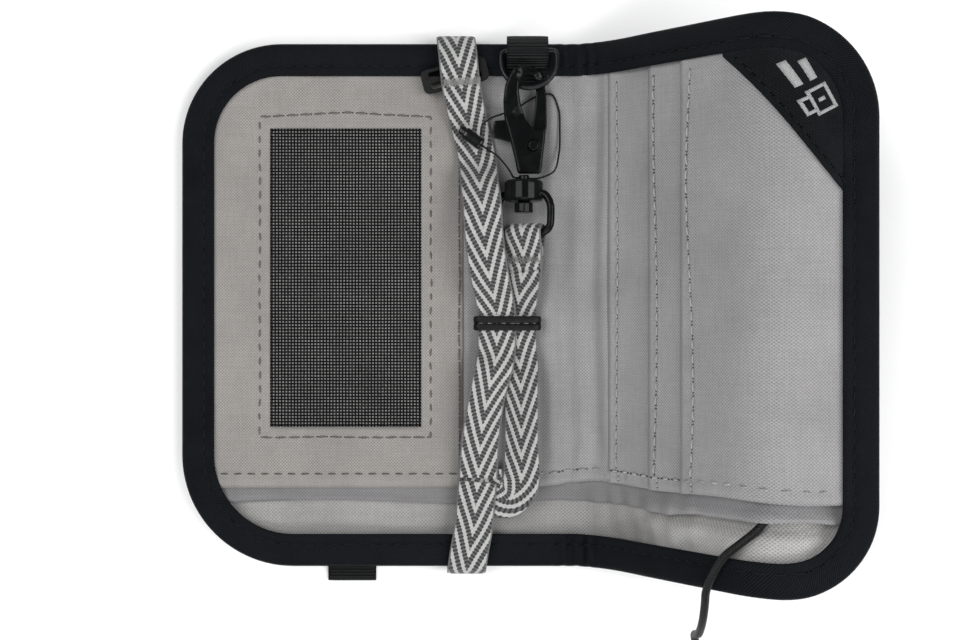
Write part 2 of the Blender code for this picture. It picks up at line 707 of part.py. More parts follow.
def add_strap_fittings(mats, keeper_origin, slider_origin):
    x0, x1, z0, z1 = -14.1, 2.2, 5.65, 8.5
    wall = 0.6
    inner = ((x0, z0), (x1, z0), (x1, z1), (x0, z1))
    outer = ((x0 - wall, z0 - wall), (x1 + wall, z0 - wall), (x1 + wall, z1 + wall),
             (x0 - wall, z1 + wall))
    rings = []
    for (ix, iz), (ox, oz) in zip(inner, outer):
        rings.append([Vector((ox, -6.5, oz)), Vector((ox, -2.9, oz)), Vector((ix, -2.9, iz)),
                      Vector((ix, -6.5, iz))])
    loft_object("strap_keeper", rings, mats["rubber"], origin=keeper_origin,
                closed=True)
    tilt = math.radians(14.0)
    outline = []
    for corner_x, corner_y, start in ((7.2, 1.6, 0), (-7.2, 1.6, 1), (-7.2, -1.6, 2),
                                      (7.2, -1.6, 3)):
        for i in range(5):
            angle = math.pi / 2.0 * (start + i / 4.0)
            x = corner_x + 1.5 * math.cos(angle)
            y = corner_y + 1.5 * math.sin(angle)
            outline.append((slider_origin[0] + x * math.cos(tilt) - y * math.sin(tilt),
                            slider_origin[1] + x * math.sin(tilt) + y * math.cos(tilt)))
    slider = loft_object("strap_slider", prism_rings(outline, 5.75, 7.2), mats["rubber"],
                         origin=slider_origin)
    for number, offset in enumerate((-1.45, 1.45), 1):
        slot = []
        for x, y in ((-6.6, -0.75), (6.6, -0.75), (6.6, 0.75), (-6.6, 0.75)):
            y += offset
            slot.append((slider_origin[0] + x * math.cos(tilt) - y * math.sin(tilt),
                         slider_origin[1] + x * math.sin(tilt) + y * math.cos(tilt)))
        cutter = loft_object(f"slider_slot_cutter_{number}", prism_rings(slot, 5.0, 8.0),
                             mats["rubber"], origin=slider_origin)
        cut(slider, cutter)


def add_tag(mats):
    """The swing tag's plastic seal, lying on the strap, with its thin loop round the hook."""
    centre = Vector((-15.3, 43.2, 8.2))
    along = Vector((math.cos(math.radians(-37.0)), math.sin(math.radians(-37.0)), 0.0))
    side = Vector((-along.y, along.x, 0.0))
    rings = []
    for distance, radius in ((-3.6, 0.7), (-3.2, 1.2), (-2.0, 1.25), (-1.9, 1.6), (3.2, 1.6),
                             (3.5, 1.2)):
        ring = []
        for j in range(12):
            angle = 2.0 * math.pi * j / 12
            ring.append(centre + along * distance + side * (radius * math.cos(angle))
                        + Vector((0.0, 0.0, radius * math.sin(angle))))
        rings.append(ring)
    loft_object("tag_seal", rings, mats["gloss"])
    end = centre + along * 3.85
    route = [
        tuple(end), (-9.9, 39.2, 9.2), (-7.6, 36.8, 12.0), (-5.6, 34.2, 12.6), (-4.6, 32.7, 10.8),
        (-3.9, 32.7, 8.6), (-2.0, 32.7, 7.7), (2.2, 32.7, 8.0), (5.8, 34.2, 8.2), (7.4, 39.0, 6.4),
        (7.7, 45.0, 5.6), (7.2, 51.5, 5.4), (5.6, 54.6, 5.6), (2.0, 54.2, 5.6),
        (-3.0, 51.4, 5.6), (-7.2, 49.4, 6.6), (-10.4, 47.9, 8.4), (-12.6, 45.6, 9.7),
        (-12.6, 43.8, 9.2)]
    add_cord("tag_string", route, 0.25, 70, mats["gloss"])


# ---------------------------------------------------------------- cords

def add_cord(name, route, radius, samples, material):
    """A round cord as a bevelled curve through a smooth run of points."""
    points = catmull(route, samples)
    curve = bpy.data.curves.new(name, "CURVE")
    curve.dimensions = "3D"
    spline = curve.splines.new("POLY")
    spline.points.add(len(points) - 1)
    for point, target in zip(points, spline.points):
        target.co = (*(Vector(point) * MM), 1.0)
    curve.bevel_depth = radius * MM
    curve.bevel_resolution = 2
    curve.use_fill_caps = True
    curve.materials.append(material)
    item = bpy.data.objects.new(name, curve)
    bpy.context.collection.objects.link(item)
    item.location = Vector((-CENTRE_X, -CENTRE_Y, 0.0)) * MM


def add_tether(mats):
    """The round cord from the note pocket, over the binding and down to its coil."""
    hand = [RIGHT.lay(s, y, n) for s, y, n in (
        (48.6, -52.0, 4.5), (47.0, -55.5, 6.2), (45.0, -59.0, 8.75), (43.4, -63.0, 8.75),
        (42.2, -66.5, 8.7), (41.6, -68.6, 8.4))]
    on_half = [tuple(point) for point in hand]
    end = hand[-1]
    add_cord("tether_cord_pocket", on_half, CORD_RADIUS, 9, mats["cord"])
    route = [
        (end.x, end.y - 0.45, end.z - 0.1), (end.x + 0.1, -74.5, end.z - 3.0),
        (end.x + 0.6, -81.0, end.z - 11.0), (end.x + 1.6, -86.0, end.z - 22.0),
        (end.x + 3.0, -90.5, 8.6), (end.x + 4.6, -95.5, 2.6), (end.x + 5.2, -101.0, 1.4),
        (end.x + 4.9, -105.6, 1.3)]
    add_cord("tether_cord_drop", route, CORD_RADIUS, 26, mats["cord"])
    return Vector((end.x + 4.9, -105.6, 1.3))


def add_coil(mats, lead):
    """The outer shape of the coiled length, lying flat on the table, and the cord's end."""
    outer, inner, height = 13.0, 8.6, 6.2
    centre = Vector((lead.x - outer + CORD_RADIUS, lead.y - 7.8, 0.0))
    sides = 32
    rings = []
    for j in range(sides):
        angle = 2.0 * math.pi * j / sides
        out = Vector((math.cos(angle), math.sin(angle), 0.0))
        ring = []
        for radius, z in ((inner, 0.9), (inner + 0.9, 0.02), (outer - 0.9, 0.02), (outer, 0.9),
                          (outer, height - 0.9), (outer - 0.9, height), (inner + 0.9, height),
                          (inner, height - 0.9)):
            ring.append(centre + out * radius + Vector((0.0, 0.0, z)))
        rings.append(ring)
    loft_object("tether_coil", rings, mats["cord"], closed=True)
    start = centre + Vector((-outer - 0.3 - 2.4, 0.0, 2.45))
    rings = []
    for distance, radius in ((0.0, 1.6), (0.6, 2.1), (5.4, 2.4), (7.6, 2.4), (8.4, 1.6)):
        ring = []
        for j in range(12):
            angle = 2.0 * math.pi * j / 12
            ring.append(start + Vector((radius * math.cos(angle), -distance,
                                        radius * math.sin(angle))))
        rings.append(ring)
    loft_object("tether_end", rings, mats["rubber"])


# ---------------------------------------------------------------- assembly

def add_empty(name, design_location):
    empty = bpy.data.objects.new(name, None)
    bpy.context.collection.objects.link(empty)
    empty.empty_display_size = 0.01
    empty.location = (Vector(design_location) - Vector((CENTRE_X, CENTRE_Y, 0.0))) * MM
    return empty


def hold(parent, items):
    """Parent items to an empty without moving them."""
    offset = Matrix.Translation(-parent.location)
    for item in items:
        item.parent = parent
        item.matrix_parent_inverse = offset


def make_materials():
    return {
        "shell": make_material("shell_nylon", (0.006, 0.008, 0.014), 0.75),
        "foil": make_material("shield_foil", (0.55, 0.56, 0.58), 0.35, 1.0),
        "lining": make_material("lining_nylon", (0.36, 0.35, 0.35), 0.8),
        "divider": make_material("divider_nylon", (0.29, 0.28, 0.285), 0.8),
        "panel": make_material("panel_nylon", (0.33, 0.31, 0.295), 0.8),
        "panel_cool": make_material("card_panel_nylon", (0.33, 0.33, 0.34), 0.8),
        "mesh": make_material("window_net", (0.02, 0.02, 0.02), 0.7),
        "binding": make_material("binding_twill", (0.004, 0.006, 0.012), 0.7),
        "webbing": make_material("black_webbing", (0.008, 0.009, 0.009), 0.7),
        "label": make_material("label_fabric", (0.007, 0.008, 0.008), 0.6),
        "strap": make_material("strap_webbing", (0.3, 0.3, 0.3), 0.85),
        "metal": make_material("black_plated_wire", (0.03, 0.032, 0.034), 0.35, 0.8),
        "hook": make_material("black_hook", (0.012, 0.014, 0.014), 0.32),
        "rubber": make_material("black_rubber", (0.01, 0.01, 0.01), 0.6),
        "gloss": make_material("black_plastic", (0.012, 0.013, 0.014), 0.25),
        "cord": make_material("black_cord", (0.006, 0.006, 0.007), 0.6),
    }


def build():
    clear_scene()
    mats = make_materials()
    add_left_half(mats)
    fold = add_empty("fold_axis", (CREASE_X, 0.0, HINGE_Z))
    hold(fold, add_right_half(mats))
    add_ring_tab(mats)
    ring_pivot = (RING_X, RING_BAR_Y, RING_BAR_Z)
    add_d_ring(mats, ring_pivot)
    add_hook_frame(mats, ring_pivot)
    add_gate(mats)
    add_rivet(mats, ring_pivot)
    add_gate_spring(mats, ring_pivot)
    eye_origin = (HOOK_X, 26.0, HOOK_Z)
    add_swivel(mats, ring_pivot, eye_origin)
    add_end_loop(mats, eye_origin)
    add_strap(mats)
    add_strap_fittings(mats, (-5.95, -4.7, 7.0), (-19.5, 59.4, 6.5))
    add_tag(mats)
    add_coil(mats, add_tether(mats))


build()
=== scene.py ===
import math

import bmesh
import bpy
import numpy as np
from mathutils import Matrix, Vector, noise

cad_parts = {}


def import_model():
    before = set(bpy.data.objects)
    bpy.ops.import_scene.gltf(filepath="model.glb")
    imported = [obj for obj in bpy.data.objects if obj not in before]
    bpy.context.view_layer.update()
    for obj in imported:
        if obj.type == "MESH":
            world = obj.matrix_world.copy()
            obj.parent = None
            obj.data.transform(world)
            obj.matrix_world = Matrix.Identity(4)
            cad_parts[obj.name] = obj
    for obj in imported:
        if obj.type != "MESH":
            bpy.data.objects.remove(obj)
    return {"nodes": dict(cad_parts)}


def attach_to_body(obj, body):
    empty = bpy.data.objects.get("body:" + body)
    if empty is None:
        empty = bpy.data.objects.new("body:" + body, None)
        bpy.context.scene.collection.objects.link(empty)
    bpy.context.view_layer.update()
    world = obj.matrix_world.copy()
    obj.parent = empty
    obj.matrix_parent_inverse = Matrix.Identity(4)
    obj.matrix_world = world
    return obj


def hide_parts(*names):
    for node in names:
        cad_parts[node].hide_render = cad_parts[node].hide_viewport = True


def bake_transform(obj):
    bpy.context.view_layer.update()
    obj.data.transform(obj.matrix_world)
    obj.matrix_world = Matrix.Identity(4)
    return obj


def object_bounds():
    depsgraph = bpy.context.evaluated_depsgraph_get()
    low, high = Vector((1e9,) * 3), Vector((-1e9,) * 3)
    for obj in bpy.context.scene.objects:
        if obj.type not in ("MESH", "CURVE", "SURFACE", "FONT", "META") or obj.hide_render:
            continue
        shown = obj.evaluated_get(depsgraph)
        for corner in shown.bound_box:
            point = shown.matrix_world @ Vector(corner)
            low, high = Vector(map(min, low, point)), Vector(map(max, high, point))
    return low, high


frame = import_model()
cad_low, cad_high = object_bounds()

# Lengths are millimetres in the design frame of the CAD source; world() turns them to metres.
MM = 0.001
CENTRE_X = -5.95
CENTRE_Y = -0.57

# Outline and arch, as in the CAD source
HALF_HEIGHT = 68.1
LEFT_LENGTH = 102.4
RIGHT_LENGTH = 77.0
TOP_CORNERS = (26.0, 25.0)
LOW_CORNERS = (29.0, 22.0)
CREASE_X = 11.7
HINGE_Z = 5.7
SLOPE_START = math.radians(18.0)
SLOPE_RISE = math.radians(44.0)
SLOPE_EDGE = math.radians(3.0)
RISE_FULL_AT = 24.0
FALL_FROM = 46.0
FALL_TO = 62.0
JOIN = 3.0
BEND_REACH = 4.0

# Underside and thickness of the sewn layers
SHELL = (1.2, 0.6)
LINING = (2.55, 0.4)
DIVIDER = (3.3, 0.35)
BACKING = (3.76, 0.1)
FRONT = (4.0, 0.42)
SLOT_LEVELS = ((4.75, 0.33), (5.4, 0.33), (6.05, 0.33))
SLOT_EDGES = (9.4, 23.0, 33.0)
SLOT_SEAMS = (2.9, 2.3, 2.9)
SLOT_WANDER = ((0.25, 0.05), (0.45, 0.06), (0.95, 0.062))
LABEL = (6.7, 0.28)
LAYER_INSET = 1.9
WINDOW = (-67.7, -28.3, -31.7, 46.0)
ID_PANEL_EDGE = -17.4
LEFT_HEM = -47.6
RIGHT_HEM = -45.9
DIVIDER_EDGE = -51.2
BINDING_WIDTH = 8.6
BINDING_WALL = 1.2
FLANGE = 0.65
FLANGE_LEFT = 4.75
FLANGE_RIGHT = 6.7
FLANGE_RISE = 24.0
STRAP_NOTCHES = ((-26.0, -12.6), (-23.0, -10.2))
TAB_NOTCH = (-53.6, -39.8)

# Camera: straight down, 0.3 m above the table
CAMERA_AT = (-13.0, 0.0, 304.0)
FOCAL_LENGTH = 43.125
SHIFT_Y = -0.0156


def world(point):
    return Vector(((point[0] - CENTRE_X) * MM, (point[1] - CENTRE_Y) * MM, point[2] * MM))


def clamp(value):
    return max(0.0, min(1.0, value))


def smoothstep(value):
    value = clamp(value)
    return value * value * (3.0 - 2.0 * value)


def hump(value, centre, width):
    """A bell round centre, 1 high."""
    return math.exp(-(((value - centre) / width) ** 2))


def window_of(value, low, high, soft):
    """1 between low and high, fading to 0 over soft on both sides."""
    return smoothstep((value - low + soft) / soft) * smoothstep((high + soft - value) / soft)


# ---------------------------------------------------------------- where the two halves lie

def slope_at(s):
    rise = smoothstep(s / RISE_FULL_AT)
    fall = smoothstep((s - FALL_FROM) / (FALL_TO - FALL_FROM))
    return SLOPE_START + (SLOPE_RISE - SLOPE_START) * rise - (SLOPE_RISE - SLOPE_EDGE) * fall


def arch_table(step=0.5):
    x = CREASE_X + HINGE_Z * math.sin(SLOPE_START)
    z = HINGE_Z - HINGE_Z * math.cos(SLOPE_START)
    points = [(x, z)]
    for i in range(int(RIGHT_LENGTH / step) + 4):
        slope = slope_at((i + 0.5) * step)
        x += step * math.cos(slope)
        z += step * math.sin(slope)
        points.append((x, z))
    return points, step


ARCH, ARCH_STEP = arch_table()


def bend(s, y, n):
    """Design point of the right half at distance s from the crease and level n."""
    if s < 0.0:
        x = ARCH[0][0] + s * math.cos(SLOPE_START)
        z = ARCH[0][1] + s * math.sin(SLOPE_START)
        slope = SLOPE_START
    else:
        place = s / ARCH_STEP
        index = min(int(place), len(ARCH) - 2)
        share = place - index
        x = ARCH[index][0] * (1.0 - share) + ARCH[index + 1][0] * share
        z = ARCH[index][1] * (1.0 - share) + ARCH[index + 1][1] * share
        slope = slope_at(s)
    return Vector((x - n * math.sin(slope), y, z + n * math.cos(slope)))


def place(a, y, n):
    """Design point at signed distance a from the crease: the left half is below 0."""
    left = Vector((CREASE_X + a, y, n))
    if a <= -JOIN:
        return left
    right = bend(a, y, n)
    if a >= JOIN:
        return right
    return left.lerp(right, smoothstep((a + JOIN) / (2.0 * JOIN)))


def corner_y(over, corner, inset):
    radius = corner - inset
    straight = HALF_HEIGHT - inset
    if over <= 0.0:
        return straight
    over = min(over, radius)
    return straight - radius + math.sqrt(max(0.0, radius * radius - over * over))


def edge_y(a, inset, corners):
    """Half height of the outline, drawn in by inset, at distance a."""
    if a < 0.0:
        return corner_y(-a - (LEFT_LENGTH - corners[0]), corners[0], inset)
    return corner_y(a - (RIGHT_LENGTH - corners[1]), corners[1], inset)


def stations(start, end, step, extra=()):
    """Distances from start to end, closer together round the outline's corners."""
    values = {start, end, *[e for e in extra if start < e < end]}
    a = start
    while a < end:
        near_end = min(abs(a + LEFT_LENGTH), abs(RIGHT_LENGTH - a))
        a += step * (0.25 + 0.75 * min(1.0, near_end / 12.0))
        if a < end - 0.2:
            values.add(a)
    ordered = sorted(values)
    kept = [ordered[0]]
    for value in ordered[1:]:
        if value - kept[-1] > 0.12 or value in extra or value == end:
            kept.append(value)
    return kept


# ---------------------------------------------------------------- mesh helpers

def new_mesh(name, points, faces, uvs, material):
    """An object from design points, faces and one (u, v) in millimetres for each point."""
    mesh = bpy.data.meshes.new(name)
    mesh.from_pydata([world(p) for p in points], [], faces)
    mesh.update()
    layer = mesh.uv_layers.new(name="cloth")
    loops = np.zeros(len(mesh.loops), np.int32)
    mesh.loops.foreach_get("vertex_index", loops)
    layer.data.foreach_set("uv", np.array(uvs, np.float32)[loops].ravel())
    mesh.materials.append(material)
    mesh.polygons.foreach_set("use_smooth", np.ones(len(mesh.polygons), bool))
    item = bpy.data.objects.new(name, mesh)
    bpy.context.scene.collection.objects.link(item)
    return item


def fix_normals(item):
    bm = bmesh.new()
    bm.from_mesh(item.data)
    bmesh.ops.recalc_face_normals(bm, faces=bm.faces)
    bm.to_mesh(item.data)
    bm.free()


def skin(count, sides):
    """Faces of a tube of count rings with that many sides, and of its two ends."""
    faces = []
    for here in range(0, (count - 1) * sides, sides):
        for j in range(sides):
            k = (j + 1) % sides
            faces.append((here + j, here + k, here + sides + k, here + sides + j))
    faces.append(tuple(range(sides)))
    faces.append(tuple(reversed(range((count - 1) * sides, count * sides))))
    return faces


def tube_of(rings, uvs):
    """The points, faces and uvs of one part skinned over rings."""
    return ([p for ring in rings for p in ring], skin(len(rings), len(rings[0])),
            [uv for row in uvs for uv in row])


def join_parts(name, parts, material):
    """One object from (points, faces, uvs) parts."""
    points, faces, uvs = [], [], []
    for part_points, part_faces, part_uvs in parts:
        base = len(points)
        points += part_points
        uvs += part_uvs
        faces += [tuple(base + v for v in face) for face in part_faces]
    item = new_mesh(name, points, faces, uvs, MATS[material])
    fix_normals(item)
    return item


def loft(name, rings, uvs, material):
    """Skin rings of points; uvs has one (u, v) for each point of each ring."""
    return join_parts(name, [tube_of(rings, uvs)], material)


def attach(item, body, nodes=()):
    """Put a piece on its body, or for None only bake the transform of a piece that lies across the
    crease; hide the CAD nodes it replaces.
    """
    if body is None:
        world(place(-BEND_REACH, 0.0, BEND_REACH))
        world(place(BEND_REACH, 0.0, BEND_REACH))
        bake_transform(item)
    else:
        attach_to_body(item, body)
    if nodes:
        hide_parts(*nodes)


class Layer:
    """A sheet of cloth lying on the wallet: its run in a, its limits in y and its levels."""

    def __init__(self, base, start, end, low, high, ripple=None, inset=LAYER_INSET):
        self.bottom, self.thickness = base
        self.start = start
        self.end = end
        self.low = low
        self.high = high
        self.ripple = ripple
        self.inset = inset

    def limits(self, a):
        low = -edge_y(a, self.inset, LOW_CORNERS)
        high = edge_y(a, self.inset, TOP_CORNERS)
        if self.low is not None:
            low = max(low, self.low(a))
        if self.high is not None:
            high = min(high, self.high(a))
        return low, high

    def level(self, a, y):
        """Level of the underside."""
        return self.bottom + (self.ripple(a, y) if self.ripple else 0.0)

    def top(self, a, y, above=0.0):
        return place(a, y, self.level(a, y) + self.thickness + above)

    def area(self):
        width = (self.end - self.start) / 400.0
        total = 0.0
        for i in range(400):
            low, high = self.limits(self.start + (i + 0.5) * width)
            total += (high - low) * width
        return total * MM * MM


def build_layer(name, layer, material, step, rows, hole=None):
    """The cloth's upper and lower skin and the thin walls between them."""
    extra = () if hole is None else hole[:2]
    run = stations(layer.start, layer.end, step, extra)
    points, uvs, grid = [], [], []
    for a in run:
        low, high = layer.limits(a)
        if hole is None:
            column = [low + (high - low) * j / rows for j in range(rows + 1)]
        else:
            first = max(2, round(rows * (hole[2] - LEFT_HEM) / 120.0))
            middle = round(rows * (hole[3] - hole[2]) / 120.0)
            last = max(2, rows - first - middle)
            knots = [low, max(low + 0.5, hole[2]), min(high - 0.5, hole[3]), high]
            column = []
            for k, count in enumerate((first, middle, last)):
                for j in range(count):
                    column.append(knots[k] + (knots[k + 1] - knots[k]) * j / count)
            column.append(high)
        for y in column:
            rim = min(1.0, (y - low) / 0.5, (high - y) / 0.5)
            rim = layer.thickness * 0.18 * (1.0 - max(0.0, rim))
            n = layer.level(a, y)
            points.append(place(a, y, n + layer.thickness - rim))
            points.append(place(a, y, n + rim))
            uvs += [(a, y), (a, y)]
        grid.append(column)
    width = len(grid[0])

    def vert(i, j, side):
        return 2 * (i * width + j) + side

    cells = set()
    for i in range(len(run) - 1):
        for j in range(width - 1):
            mid_a = (run[i] + run[i + 1]) / 2.0
            mid_y = (grid[i][j] + grid[i][j + 1]) / 2.0
            inside = hole is not None and hole[0] < mid_a < hole[1] and hole[2] < mid_y < hole[3]
            if not inside:
                cells.add((i, j))
    faces = []
    for i, j in sorted(cells):
        corners = ((i, j), (i + 1, j), (i + 1, j + 1), (i, j + 1))
        faces.append(tuple(vert(p, q, 0) for p, q in corners))
        faces.append(tuple(vert(p, q, 1) for p, q in reversed(corners)))
        for k, (di, dj) in enumerate(((0, -1), (1, 0), (0, 1), (-1, 0))):
            if (i + di, j + dj) not in cells:
                p, q = corners[k], corners[(k + 1) % 4]
                faces.append((vert(*q, 0), vert(*p, 0), vert(*p, 1), vert(*q, 1)))
    item = new_mesh(name, points, faces, uvs, MATS[material])
    if hole is not None:
        bm = bmesh.new()
        bm.from_mesh(item.data)
        bmesh.ops.delete(bm, geom=[v for v in bm.verts if not v.link_faces], context="VERTS")
        bm.to_mesh(item.data)
        bm.free()
    return item


def catmull(points, samples):
    """Samples of a smooth curve through tuples, whose first three values are a place."""
    steps = [max(0.01, math.dist(a[:3], b[:3])) for a, b in zip(points, points[1:])]
    slopes = []
    for i, point in enumerate(points):
        before = steps[max(i - 1, 0)]
        after = steps[min(i, len(steps) - 1)]
        left = points[max(i - 1, 0)]
        right = points[min(i + 1, len(points) - 1)]
        slope = []
        for a, b, c in zip(left, point, right):
            back = (b - a) / before
            ahead = (c - b) / after
            if i == 0:
                back = ahead
            if i == len(points) - 1:
                ahead = back
            slope.append((back * after + ahead * before) / (before + after))
        slopes.append(slope)
    spans = len(points) - 1
    result = []
    for i in range(samples):
        at = spans * i / (samples - 1)
        k = min(int(at), spans - 1)
        t = at - k
        rise = t * t * (3.0 - 2.0 * t)
        value = []
        for p0, p1, m0, m1 in zip(points[k], points[k + 1], slopes[k], slopes[k + 1]):
            pull = t * (1.0 - t) * ((1.0 - t) * m0 - t * m1) * steps[k]
            value.append(p0 + (p1 - p0) * rise + pull)
        result.append(tuple(value))
    return result


def even(points, step):
    """Points of a dense path resampled at even steps of its length."""
    array = np.array(points, float)
    gone = np.linalg.norm(np.diff(array[:, :3], axis=0), axis=1)
    along = np.concatenate(([0.0], np.cumsum(gone)))
    count = max(2, round(along[-1] / step) + 1)
    wanted = np.linspace(0.0, along[-1], count)
    columns = [np.interp(wanted, along, array[:, k]) for k in range(array.shape[1])]
    return np.stack(columns, axis=1), wanted


def tangents(points):
    ahead = np.roll(points, -1, axis=0)
    behind = np.roll(points, 1, axis=0)
    ahead[-1] = points[-1]
    behind[0] = points[0]
    run = ahead - behind
    return run / np.linalg.norm(run, axis=1)[:, None]


def tube_part(points, radii, sides):
    """A round tube along points, without twist, with its uvs in millimetres."""
    rings, uvs = [], []
    up = Vector((0.0, 0.0, 1.0))
    gone = 0.0
    runs = tangents(np.array(points, float)[:, :3])
    for i, (point, run, radius) in enumerate(zip(points, runs, radii)):
        point, run = Vector(point[:3]), Vector(run)
        if i:
            gone += (point - Vector(points[i - 1][:3])).length
        if abs(run.dot(up)) > 0.98 and i == 0:
            up = Vector((0.0, 1.0, 0.0))
        up = (up - run * up.dot(run)).normalized()
        side = run.cross(up)
        ring, row = [], []
        for j in range(sides):
            angle = 2.0 * math.pi * j / sides
            ring.append(point + (up * math.cos(angle) + side * math.sin(angle)) * radius)
            row.append((angle * radius, gone))
        rings.append(ring)
        uvs.append(row)
    return tube_of(rings, uvs)


def tube(name, points, radius, sides, material):
    return join_parts(name, [tube_part(points, [radius] * len(points), sides)], material)


# ---------------------------------------------------------------- materials

class Paint:
    """A short way to wire the nodes of one material."""

    def __init__(self, name):
        self.material = bpy.data.materials.new(name)
        self.material.use_nodes = True
        self.tree = self.material.node_tree
        self.shader = self.tree.nodes["Principled BSDF"]

    def node(self, kind, **settings):
        node = self.tree.nodes.new(kind)
        for key, value in settings.items():
            setattr(node, key, value)
        return node

    def put(self, socket, value):
        if isinstance(value, bpy.types.NodeSocket):
            self.tree.links.new(value, socket)
        elif isinstance(value, tuple) and len(value) == 3 and socket.type == "RGBA":
            socket.default_value = (*value, 1.0)
        else:
            socket.default_value = value

    def math(self, operation, *values):
        node = self.node("ShaderNodeMath", operation=operation)
        for socket, value in zip(node.inputs, values):
            self.put(socket, value)
        return node.outputs[0]

    def wave(self, value, period):
        """Sine of value over period, from -1 to 1."""
        return self.math("SINE", self.math("MULTIPLY", value, 2.0 * math.pi / period))

    def fit(self, value, low, high, to_low=0.0, to_high=1.0):
        """Value eased from the range low..high to the range to_low..to_high."""
        node = self.node("ShaderNodeMapRange", interpolation_type="SMOOTHSTEP")
        for socket, number in zip(node.inputs[:5], (value, low, high, to_low, to_high)):
            self.put(socket, number)
        return node.outputs[0]

    def mix(self, share, low, high):
        node = self.node("ShaderNodeMix", data_type="RGBA")
        self.put(node.inputs[0], share)
        self.put(node.inputs[6], low)
        self.put(node.inputs[7], high)
        return node.outputs[2]

    def scaled(self, colour, amount):
        """A colour brightened or darkened by a number near 1."""
        node = self.node("ShaderNodeVectorMath", operation="SCALE")
        self.put(node.inputs[0], colour)
        self.put(node.inputs[3], amount)
        return node.outputs[0]

    def uv(self):
        at = self.node("ShaderNodeUVMap", uv_map="cloth").outputs[0]
        parts = self.node("ShaderNodeSeparateXYZ")
        self.put(parts.inputs[0], at)
        return parts.outputs[0], parts.outputs[1]

    def place(self):
        """Object coordinates in millimetres."""
        at = self.node("ShaderNodeTexCoord").outputs["Object"]
        node = self.node("ShaderNodeVectorMath", operation="SCALE")
        self.put(node.inputs[0], at)
        node.inputs[3].default_value = 1000.0
        return node.outputs[0]

    def vector(self, x, y, z=0.0):
        node = self.node("ShaderNodeCombineXYZ")
        for socket, value in zip(node.inputs, (x, y, z)):
            self.put(socket, value)
        return node.outputs[0]

    def noise(self, at, scale, detail=3.0, rough=0.55):
        node = self.node("ShaderNodeTexNoise")
        self.put(node.inputs["Vector"], at)
        node.inputs["Scale"].default_value = scale
        node.inputs["Detail"].default_value = detail
        node.inputs["Roughness"].default_value = rough
        return node.outputs[0]

    def bump(self, height, distance):
        node = self.node("ShaderNodeBump")
        self.put(node.inputs["Height"], height)
        node.inputs["Distance"].default_value = distance * MM
        self.put(self.shader.inputs["Normal"], node.outputs[0])

    def finish(self, **sockets):
        for name, value in sockets.items():
            self.put(self.shader.inputs[name.replace("_", " ")], value)
        return self.material


def woven(name, colour, valley, pitch, depth, rough=0.62, sheen=0.10, mottle=0.10,
          gloss=0.35, painted_light_right=0.0):
    """Plain-woven nylon: checked threads, slubs along them and soft blotches; the last argument
    brightens the colour across the right half as painted light.
    """
    p = Paint(name)
    u, v = p.uv()
    checks = p.math("MULTIPLY", p.wave(u, 2.0 * pitch), p.wave(v, 2.0 * pitch))
    rib_u = p.wave(u, pitch)
    rib_v = p.wave(v, pitch)
    height = p.math("MULTIPLY_ADD", checks, 0.5, 0.5)
    height = p.math("MULTIPLY_ADD", p.math("ADD", rib_u, rib_v), 0.09, height)
    along_u = p.noise(p.vector(p.math("MULTIPLY", u, 0.12), p.math("MULTIPLY", v, 1.9)), 1.0)
    along_v = p.noise(p.vector(p.math("MULTIPLY", u, 1.9), p.math("MULTIPLY", v, 0.12), 7.0),
                      1.0)
    slub = p.math("ADD", along_u, along_v)
    blotch = p.noise(p.vector(u, v, 3.0), 0.05, 4.0)
    grain = p.noise(p.vector(u, v, 9.0), 2.6, 2.0)
    amount = p.fit(blotch, 0.3, 0.7, 1.0 - mottle, 1.0 + mottle * 0.5)
    amount = p.math("MULTIPLY", amount, p.fit(slub, 0.7, 1.3, 0.94, 1.06))
    amount = p.math("MULTIPLY", amount, p.fit(grain, 0.25, 0.75, 0.93, 1.07))
    # Painted light: the colour is brightened from 8 to 42 mm right of the crease, over the raised
    # right half.
    amount = p.math("MULTIPLY", amount, p.fit(u, 8.0, 42.0, 1.0, 1.0 + painted_light_right))
    base = p.mix(p.fit(height, 0.12, 0.72), valley, colour)
    p.bump(p.math("ADD", height, p.math("MULTIPLY", grain, 0.35)), depth)
    roughness = p.fit(grain, 0.2, 0.8, rough - 0.08, rough + 0.08)
    return p.finish(Base_Color=p.scaled(base, amount), Roughness=roughness,
                    Sheen_Weight=sheen, Sheen_Roughness=0.45, Specular_IOR_Level=gloss)


def twill(name, colour, valley, pitch, lean, depth, rough=0.6, sheen=0.004):
    """Twill tape: fine diagonal lines broken by the cross threads, paler where rubbed."""
    p = Paint(name)
    u, v = p.uv()
    diagonal = p.math("MULTIPLY_ADD", u, lean, v)
    lines = p.math("MULTIPLY_ADD", p.wave(diagonal, pitch), 0.5, 0.5)
    broken = p.math("MULTIPLY_ADD", p.wave(u, pitch * 0.9), 0.18, lines)
    grain = p.noise(p.vector(u, v, 2.0), 1.6, 3.0)
    rub = p.noise(p.vector(u, v, 5.0), 0.09, 4.0)
    base = p.mix(p.fit(broken, 0.1, 0.9), valley, colour)
    amount = p.math("MULTIPLY", p.fit(rub, 0.3, 0.7, 0.75, 1.35),
                    p.fit(grain, 0.25, 0.75, 0.8, 1.2))
    p.bump(p.math("ADD", broken, p.math("MULTIPLY", grain, 0.5)), depth)
    return p.finish(Base_Color=p.scaled(base, amount),
                    Roughness=p.fit(rub, 0.3, 0.7, rough - 0.1, rough + 0.1),
                    Sheen_Weight=sheen, Sheen_Roughness=0.4, Specular_IOR_Level=0.07)


STRIPE_PERIOD = 5.8
STRIPE_LEAN = 2.5
BEAD_PITCH = 1.05
RIB_PITCH = 0.85


